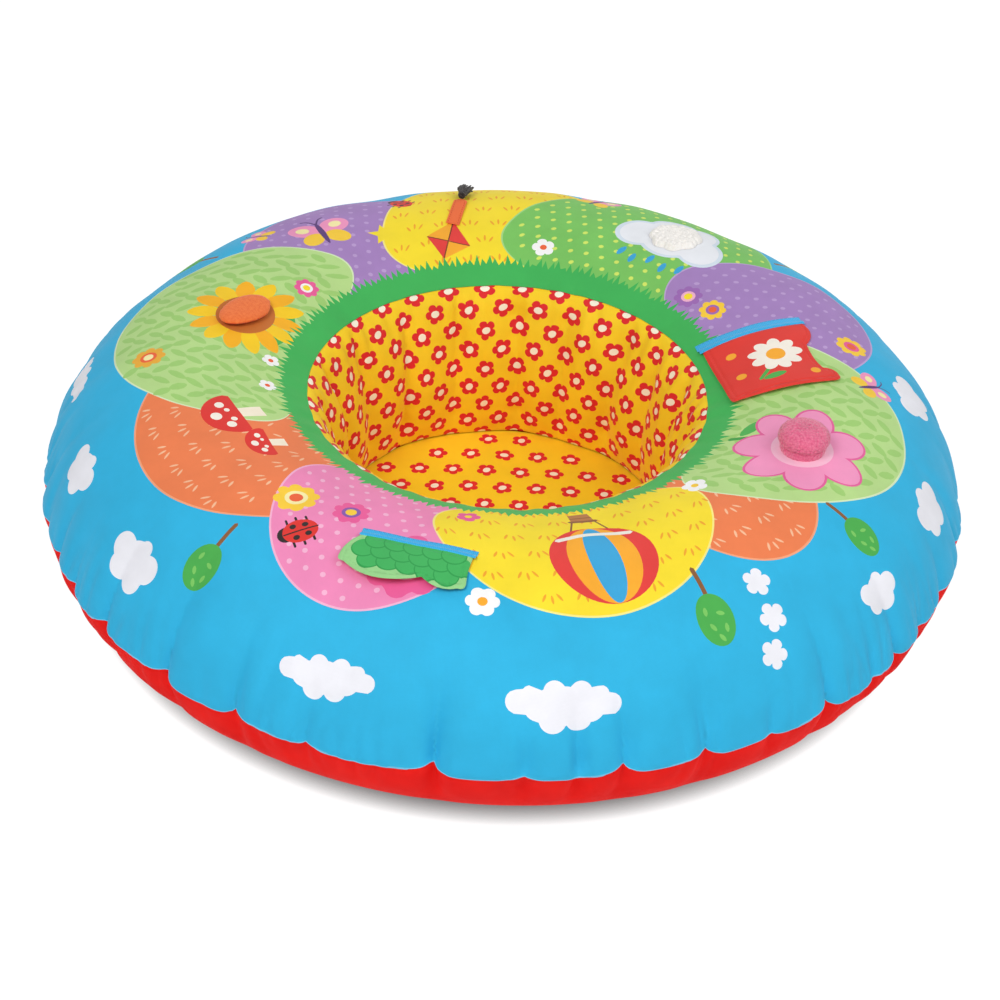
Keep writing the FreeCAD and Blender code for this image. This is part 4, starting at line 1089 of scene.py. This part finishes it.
# Brushed orange cotton: soft nap, warm colour, weave drawn at 1.2 mm; below the seam it is drawn redder
brushed, tree = finish_of("brushed_orange_cotton")
place_of = add(tree, "TexCoord")
nap = add(tree, "TexNoise", {"Vector": place_of.outputs["Object"], "Scale": 1 / 0.0025, "Detail": 5.0})
weave = add(tree, "TexWave", {"Vector": place_of.outputs["Object"], "Scale": wave_pitch / 0.0012,
                              "Distortion": 1.5}, bands_direction="DIAGONAL")
mixed = add(tree, "Math", {0: nap.outputs["Fac"], 1: weave.outputs["Fac"]}, operation="ADD")
tone = add(tree, "ValToRGB", {"Fac": nap.outputs["Fac"]})
tone.color_ramp.elements[0].position, tone.color_ramp.elements[1].position = 0.3, 0.7
tone.color_ramp.elements[0].color, tone.color_ramp.elements[1].color = linear("#EC6B2E"), linear("#F67F3E")
back_part = add(tree, "Attribute", attribute_name="back_cloth")
tone = add(tree, "Mix", {0: back_part.outputs["Fac"], 6: tone.outputs["Color"], 7: linear("#E2471F")},
           data_type="RGBA")
bump = add(tree, "Bump", {"Height": mixed.outputs[0], "Strength": 0.4, "Distance": 0.0004})
shade = add(tree, "BsdfPrincipled", {"Base Color": tone.outputs[2], "Roughness": 0.85, "Sheen Weight": 0.25,
                                     "Sheen Roughness": 0.4, "Normal": bump.outputs["Normal"]})
add(tree, "OutputMaterial", {"Surface": shade.outputs[0]})
fin.data.materials.append(brushed)
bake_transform(fin)
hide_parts("fin_front", "fin_back", "fin_wadding")

# Orange tab and tassel
# A doubled strip of orange cotton sewn down at its inner end, with a tassel of black yarn bound to its
# free end.
tab_heading, tab_orange = 82.0, "#F4713C"
tab_length, tab_straight, tab_half = 50.0, 46.4, 7.2
tab_plan = plan_of(271.0, 104.3, tab_heading)
tab_loop = np.vstack([np.linspace((0, -tab_half), (tab_straight, -tab_half), 16, endpoint=False),
                      bow((tab_straight, -tab_half), (tab_length, 0), (tab_straight, tab_half), 12),
                      np.linspace((tab_straight, tab_half), (0, tab_half), 16, endpoint=False),
                      np.linspace((0, tab_half), (0, -tab_half), 8, endpoint=False)])
tab_stitch = [(stroke([(x, y), (x + 2.4, y)], 0.8), "#D9551F")
              for y in (-5.0, 5.0) for x in np.arange(2, 44, 4.0)]


def tab_lift(p):
    return 0.4 + 1.6 * np.clip(p[:, 0] / tab_length, 0, 1) ** 2


tab_front = sewn_layer("tab_front_cloth", tab_loop, tab_plan, tab_lift, 1.1, 2.6, 1.8, tab_stitch, tab_orange,
                       1.6, 2.2)
tab_back = sewn_layer("tab_back_cloth", tab_loop, tab_plan, tab_lift, 1.1, 0.1, 1.8, [], tab_orange, 1.6, 2.2)
tab_back.data.flip_normals()
for piece in (tab_front, tab_back):
    piece.data.materials.append(cotton)
    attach(piece, "tab")
    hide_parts("tail_tab")

tab_out = toward(tab_heading)
tab_across = np.array((-tab_out[1], tab_out[0]))
tassel_spot = tab_plan(np.array((tab_length, 0.0)))
tassel_low = panel_top(tassel_spot[None])[0] + 6.6


def tube(line, radius, sides=6):
    """Points and faces of a thin yarn along a line, closed at its ends."""
    line = np.array(line, float)
    way = np.gradient(line, axis=0)
    way /= np.linalg.norm(way, axis=1, keepdims=True)
    first = np.cross(way, (0.13, 0.21, 0.97))
    first /= np.linalg.norm(first, axis=1, keepdims=True)
    second = np.cross(way, first)
    turn = np.linspace(0, 2 * np.pi, sides, endpoint=False)[None, :, None]
    around_it = line[:, None] + radius * (np.cos(turn) * first[:, None] + np.sin(turn) * second[:, None])
    faces = [list(f) for f in lattice(len(line), sides, False, True)]
    faces += [list(range(sides))[::-1], [(len(line) - 1) * sides + k for k in range(sides)]]
    return around_it.reshape(-1, 3), faces


def yarns(name, lines, radius):
    """One piece of many yarns."""
    points, faces, start = [], [], 0
    for line in lines:
        p, f = tube(line, radius)
        points.append(p)
        faces += [[i + start for i in face] for face in f]
        start += len(p)
    return mesh_of(name, np.vstack(points), faces)


def out_from_tab(x, y, z):
    """A point by its place out from the tab's end, across it and up."""
    spot = tassel_spot + x * tab_out + y * tab_across
    return (spot[0], spot[1], tassel_low + z)


chance = random.Random(11)
binding_steps, binding_radius, binding_turn = 60, 3.4, 0.62
binding = [out_from_tab(1.5 + 3.7 * k / binding_steps, binding_radius * math.cos(k * binding_turn),
                        binding_radius * math.sin(k * binding_turn)) for k in range(binding_steps + 1)]
knot = yarns("tassel_knot_yarn", [binding], 0.75)
strand_count, strand_short, strand_long = 70, 25.5, 29
strands = []
for k in range(strand_count):
    turn, reach = chance.uniform(0, 2 * math.pi), math.sqrt(chance.uniform(0.02, 1))
    bend, length = chance.uniform(-1, 1), chance.uniform(strand_short, strand_long)
    strand = []
    for share in np.linspace(0, 1, 12):
        wide = (2.2 + 6.2 * share ** 0.8) * reach
        drop = -9.0 * share ** 2
        wave = 0.9 * math.sin(share * 7 + bend * 5)
        strand.append(out_from_tab(1.0 + length * share, wide * math.cos(turn) + wave,
                                   0.62 * wide * math.sin(turn) + drop * 0.6))
    strands.append(strand)
tassel = yarns("tassel_yarn", strands, 0.62)
for piece in (knot, tassel):
    here = np.empty(len(piece.data.vertices) * 3)
    piece.data.vertices.foreach_get("co", here)
    here = here.reshape(-1, 3) * 1000
    here[:, 2] = np.maximum(here[:, 2], panel_top(here[:, :2]) + 0.5)
    piece.data.vertices.foreach_set("co", (here / 1000).ravel())
# Spun black yarn: matt, plies 1.5 mm apart showing as a slanting rib
yarn, tree = finish_of("spun_black_yarn")
ply = add(tree, "TexWave", {"Vector": add(tree, "TexCoord").outputs["Object"], "Scale": wave_pitch / 0.0015,
                            "Distortion": 2.0}, bands_direction="DIAGONAL")
# The plies are painted lighter on top and darker between: painted shade
tone = add(tree, "ValToRGB", {"Fac": ply.outputs["Fac"]})
tone.color_ramp.elements[0].color, tone.color_ramp.elements[1].color = linear("#150E0E"), linear("#33292A")
bump = add(tree, "Bump", {"Height": ply.outputs["Fac"], "Strength": 0.7, "Distance": 0.0003})
shade = add(tree, "BsdfPrincipled", {"Base Color": tone.outputs["Color"], "Roughness": 0.8,
                                     "Sheen Weight": 0.2, "Normal": bump.outputs["Normal"]})
add(tree, "OutputMaterial", {"Surface": shade.outputs[0]})
for piece, cad in ((knot, "tail_tassel_knot"), (tassel, "tail_tassel")):
    piece.data.materials.append(yarn)
    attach(piece, "tassel")
    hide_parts(cad)

# Squeaker
# A round knob to press: a pink terry cap on a terry gusset, a rubber bulb with a reed inside. It is
# sewn into the panel round its foot.
knob_radius = 298.0
knob_spot = knob_radius * toward(knob_azimuth)
knob_foot = panel_top(knob_spot[None])[0]
# The cap edge-on, from its rim to its top: radius and height
knob_line = [(21.4, 217.9), (22.0, 219.4), (21.9, 221.4), (20.9, 224.2), (18.8, 226.8), (15.4, 228.8),
             (10.8, 230.2), (5.6, 230.8), (0.3, 231.0)]
fine = np.linspace(0, len(knob_line) - 1, 34)
line = np.stack([np.interp(fine, range(len(knob_line)), [p[k] for p in knob_line]) for k in range(2)], -1)
knob_columns = 120
way = np.linspace(0, 2 * np.pi, knob_columns, endpoint=False)
chance = np.random.default_rng(3)
loops_of = chance.normal(0, 0.16, (len(line), knob_columns))
points = []
for (r, z), g in zip(line, loops_of):
    points.append(np.stack([knob_spot[0] + (r + g) * np.cos(way), knob_spot[1] + (r + g) * np.sin(way),
                            z + g * 0.8], -1))
knob = mesh_of("squeaker_terry_cap", np.array(points).reshape(-1, 3),
               lattice(len(points), knob_columns, False, True)[:, ::-1])
thick = knob.modifiers.new("terry", "SOLIDIFY")
thick.thickness, thick.offset = 0.0022, -1
# Cotton terry: looped pile in little nubs about 2 mm across, soft, with painted shade between the loops
terry, tree = finish_of("looped_cotton_terry")
nubs = add(tree, "TexVoronoi", {"Vector": add(tree, "TexCoord").outputs["Object"], "Scale": 1 / 0.0021})
tone = add(tree, "ValToRGB", {"Fac": nubs.outputs["Distance"]})
tone.color_ramp.elements[0].color, tone.color_ramp.elements[1].color = linear("#FA86A8"), linear("#DE4F7C")
bump = add(tree, "Bump", {"Height": nubs.outputs["Distance"], "Strength": 0.9, "Distance": 0.0012},
           invert=True)
shade = add(tree, "BsdfPrincipled", {"Base Color": tone.outputs["Color"], "Roughness": 0.95,
                                     "Sheen Weight": 0.4, "Sheen Roughness": 0.5,
                                     "Normal": bump.outputs["Normal"]})
add(tree, "OutputMaterial", {"Surface": shade.outputs[0]})
knob.data.materials.append(terry)
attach(knob, "squeaker_top")
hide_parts("squeaker_cap")

gusset_radius, gusset_top, gusset_tuck = 20.5, 218.6, 2.5
points = []
for share in np.linspace(0, 1, 14):
    height = knob_foot - gusset_tuck + (gusset_top - knob_foot + gusset_tuck) * share
    bulge = math.sin(math.pi * share)
    wide = gusset_radius + 1.0 * bulge + 0.3 * np.sin(26 * way) * bulge
    points.append(hoop(wide, height, way, knob_spot))
gusset = mesh_of("squeaker_gusset_cloth", np.array(points).reshape(-1, 3),
                 lattice(len(points), knob_columns, False, True))
gusset.data.materials.append(terry)
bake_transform(gusset)
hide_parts("squeaker_gusset")
# Rubber bulb, out of sight inside, over a moulded reed
bulb_line = [(0.3, 210.1), (12.8, 210.1), (15.2, 211.0), (16, 213.4), (16, 222.4), (15, 225.0), (12, 226.2),
             (0.3, 226.4)]
points = [hoop(r, z, way, knob_spot) for r, z in bulb_line]
bulb = mesh_of("squeaker_rubber_bulb", np.array(points).reshape(-1, 3),
               lattice(len(points), knob_columns, False, True))
# Natural rubber: dull and pale brown, with a faint bloom
rubber, tree = finish_of("natural_rubber")
bloom_of = add(tree, "TexNoise", {"Vector": add(tree, "TexCoord").outputs["Object"], "Scale": 1 / 0.004})
tone = add(tree, "ValToRGB", {"Fac": bloom_of.outputs["Fac"]})
tone.color_ramp.elements[0].color, tone.color_ramp.elements[1].color = linear("#C9A97C"), linear("#D8BC92")
shade = add(tree, "BsdfPrincipled", {"Base Color": tone.outputs["Color"], "Roughness": 0.6})
add(tree, "OutputMaterial", {"Surface": shade.outputs[0]})
bulb.data.materials.append(rubber)
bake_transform(bulb)
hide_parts("squeaker_bulb")
node["squeaker_reed"].material_slots[0].material = moulded

# Fleece patch
# A cloud-shaped patch of cream sherpa fleece, sewn flat to the panel round its edge, its pile in small curls.
fleece_radius, fleece_half_width, fleece_half_length = 306.0, 24, 26
curl_gap, curl_radius, curl_height, pile_height = 4.2, 3.4, 2.2, 4.2
fleece_plan = plan_of(fleece_radius, fleece_azimuth, fleece_azimuth)
corners = [(fleece_half_width * math.cos(k * math.pi / 4), fleece_half_length * math.sin(k * math.pi / 4))
           for k in range(8)]
fleece_loop = np.vstack([bulged(corners[k - 1], corners[k], math.dist(corners[k - 1], corners[k]) / 4, 12)
                         for k in range(8)])
chance = np.random.default_rng(8)
curls = chance.uniform(-34, 34, (900, 2))
kept = []
for spot in curls:
    if all(np.hypot(*(spot - other)) > curl_gap for other in kept):
        kept.append(spot)
curls = np.array(kept)


def fleece_place(flat):
    far = from_edge(flat, fleece_loop)
    rounded = np.sqrt(np.clip(1 - (1 - np.clip(far / 5.0, 0, 1)) ** 2, 0, 1))
    gap = np.linalg.norm(flat[:, None] - curls[None], axis=-1).min(1)
    curl = np.sqrt(np.clip(1 - (gap / curl_radius) ** 2, 0, 1))
    spot = fleece_plan(flat)
    top = panel_top(spot) + 0.3 + rounded * (pile_height + curl_height * curl)
    return np.concatenate([spot, top[:, None]], 1)


fleece = printed_cloth("fleece_patch_pile", [fleece_loop], [], "#F3ECE4", 1.0, inside_of(fleece_loop),
                       fleece_place)
# Sherpa fleece: knitted pile brushed into curls about 4 mm across, matt and soft
sherpa, tree = finish_of("sherpa_fleece")
place_of = add(tree, "TexCoord")
fuzz = add(tree, "TexNoise", {"Vector": place_of.outputs["Object"], "Scale": 1 / 0.0012, "Detail": 6.0,
                              "Roughness": 0.7})
tone = add(tree, "ValToRGB", {"Fac": fuzz.outputs["Fac"]})
tone.color_ramp.elements[0].position, tone.color_ramp.elements[1].position = 0.3, 0.7
tone.color_ramp.elements[0].color, tone.color_ramp.elements[1].color = linear("#F6F1EA"), linear("#FFFDFA")
bump = add(tree, "Bump", {"Height": fuzz.outputs["Fac"], "Strength": 0.35, "Distance": 0.0005})
shade = add(tree, "BsdfPrincipled", {"Base Color": tone.outputs["Color"], "Roughness": 1.0,
                                     "Sheen Weight": 0.3, "Sheen Roughness": 0.5,
                                     "Normal": bump.outputs["Normal"]})
add(tree, "OutputMaterial", {"Surface": shade.outputs[0]})
fleece.data.materials.append(sherpa)
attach(fleece, "cover")
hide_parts("fleece_patch")

# Studio
# White paper sweep, four large soft lamps and the camera at the photograph's angle, looking down from
# the front.
look, roll, distance = math.radians(36.4), math.radians(3.0), 2.4
aim = Vector((-0.002, 0.0, 0.0445))
back = Vector((0, -math.cos(look), math.sin(look)))
right, up = Vector((1, 0, 0)), Vector((0, math.sin(look), math.cos(look)))
across, upward = math.cos(roll) * right + math.sin(roll) * up, -math.sin(roll) * right + math.cos(roll) * up
lens = bpy.data.cameras.new("camera")
focal_pixels, picture_pixels = 2394, 1000
lens.sensor_width, lens.lens = 36.0, focal_pixels * 36.0 / picture_pixels
camera = bpy.data.objects.new("camera", lens)
facing = Matrix((across, upward, back)).transposed().to_4x4()
camera.matrix_world = Matrix.Translation(aim + back * distance) @ facing
bpy.context.scene.collection.objects.link(camera)
bpy.context.scene.camera = camera

half = 8e3
sweep = mesh_of("floor", [(-half, -half, 0), (half, -half, 0), (half, half, 0), (-half, half, 0)],
                [(0, 1, 2, 3)])
paper, tree = finish_of("white_paper_sweep")
path = add(tree, "LightPath")
seen = add(tree, "Math", {0: path.outputs["Is Camera Ray"], 1: path.outputs["Is Glossy Ray"]},
           operation="MAXIMUM")
seen = add(tree, "Math", {0: seen.outputs[0], 1: path.outputs["Is Transmission Ray"]}, operation="MAXIMUM")
# Near the cushion the sweep's glow for the camera is dimmed by ambient occlusion: a painted contact shadow
near = add(tree, "AmbientOcclusion", {"Distance": 0.021}, samples=16)
painted_contact_shadow = add(tree, "MapRange", {"Value": near.outputs["AO"], "From Min": 0.1, "From Max": 0.9,
                                  "To Min": 0.08, "To Max": 1.0})
glow = add(tree, "Math", {0: seen.outputs[0], 1: painted_contact_shadow.outputs[0]}, operation="MULTIPLY")
white = add(tree, "MapRange", {"Value": seen.outputs[0], "To Min": 0.8, "To Max": 0.07})
matt = add(tree, "BsdfDiffuse", {"Color": white.outputs[0]})
light = add(tree, "Emission", {"Strength": glow.outputs[0]})
both = add(tree, "AddShader", {0: matt.outputs[0], 1: light.outputs[0]})
add(tree, "OutputMaterial", {"Surface": both.outputs[0]})
sweep.data.materials.append(paper)

world = bpy.data.worlds.new("studio")
bpy.context.scene.world = world
world.use_nodes = True
tree = world.node_tree
tree.nodes.clear()
path = add(tree, "LightPath")
seen = add(tree, "Math", {0: path.outputs["Is Camera Ray"], 1: path.outputs["Is Glossy Ray"]},
           operation="MAXIMUM")
seen = add(tree, "Math", {0: seen.outputs[0], 1: path.outputs["Is Transmission Ray"]}, operation="MAXIMUM")
level = add(tree, "MapRange", {"Value": seen.outputs[0], "To Min": 0.336, "To Max": 1.0})
room = add(tree, "Background", {"Color": (1, 1, 1, 1), "Strength": level.outputs[0]})
add(tree, "OutputWorld", {"Surface": room.outputs[0]})
for name, spot, size, power in (("key", (-1.3, -1.7, 2.8), 1.4, 47.0), ("fill", (1.9, -0.9, 2.3), 2.0, 28.0),
                                ("front", (0.3, -3.2, 0.9), 2.4, 15.0), ("back", (0.5, 3.0, 1.5), 2.4, 16.0)):
    lamp = bpy.data.lights.new(name, "AREA")
    lamp.size, lamp.energy = size, power
    made = bpy.data.objects.new(name, lamp)
    made.location = spot
    made.rotation_euler = (Vector((0, 0, 0.1)) - Vector(spot)).to_track_quat("-Z", "Y").to_euler()
    bpy.context.scene.collection.objects.link(made)
bpy.context.scene.view_settings.view_transform = "Standard"
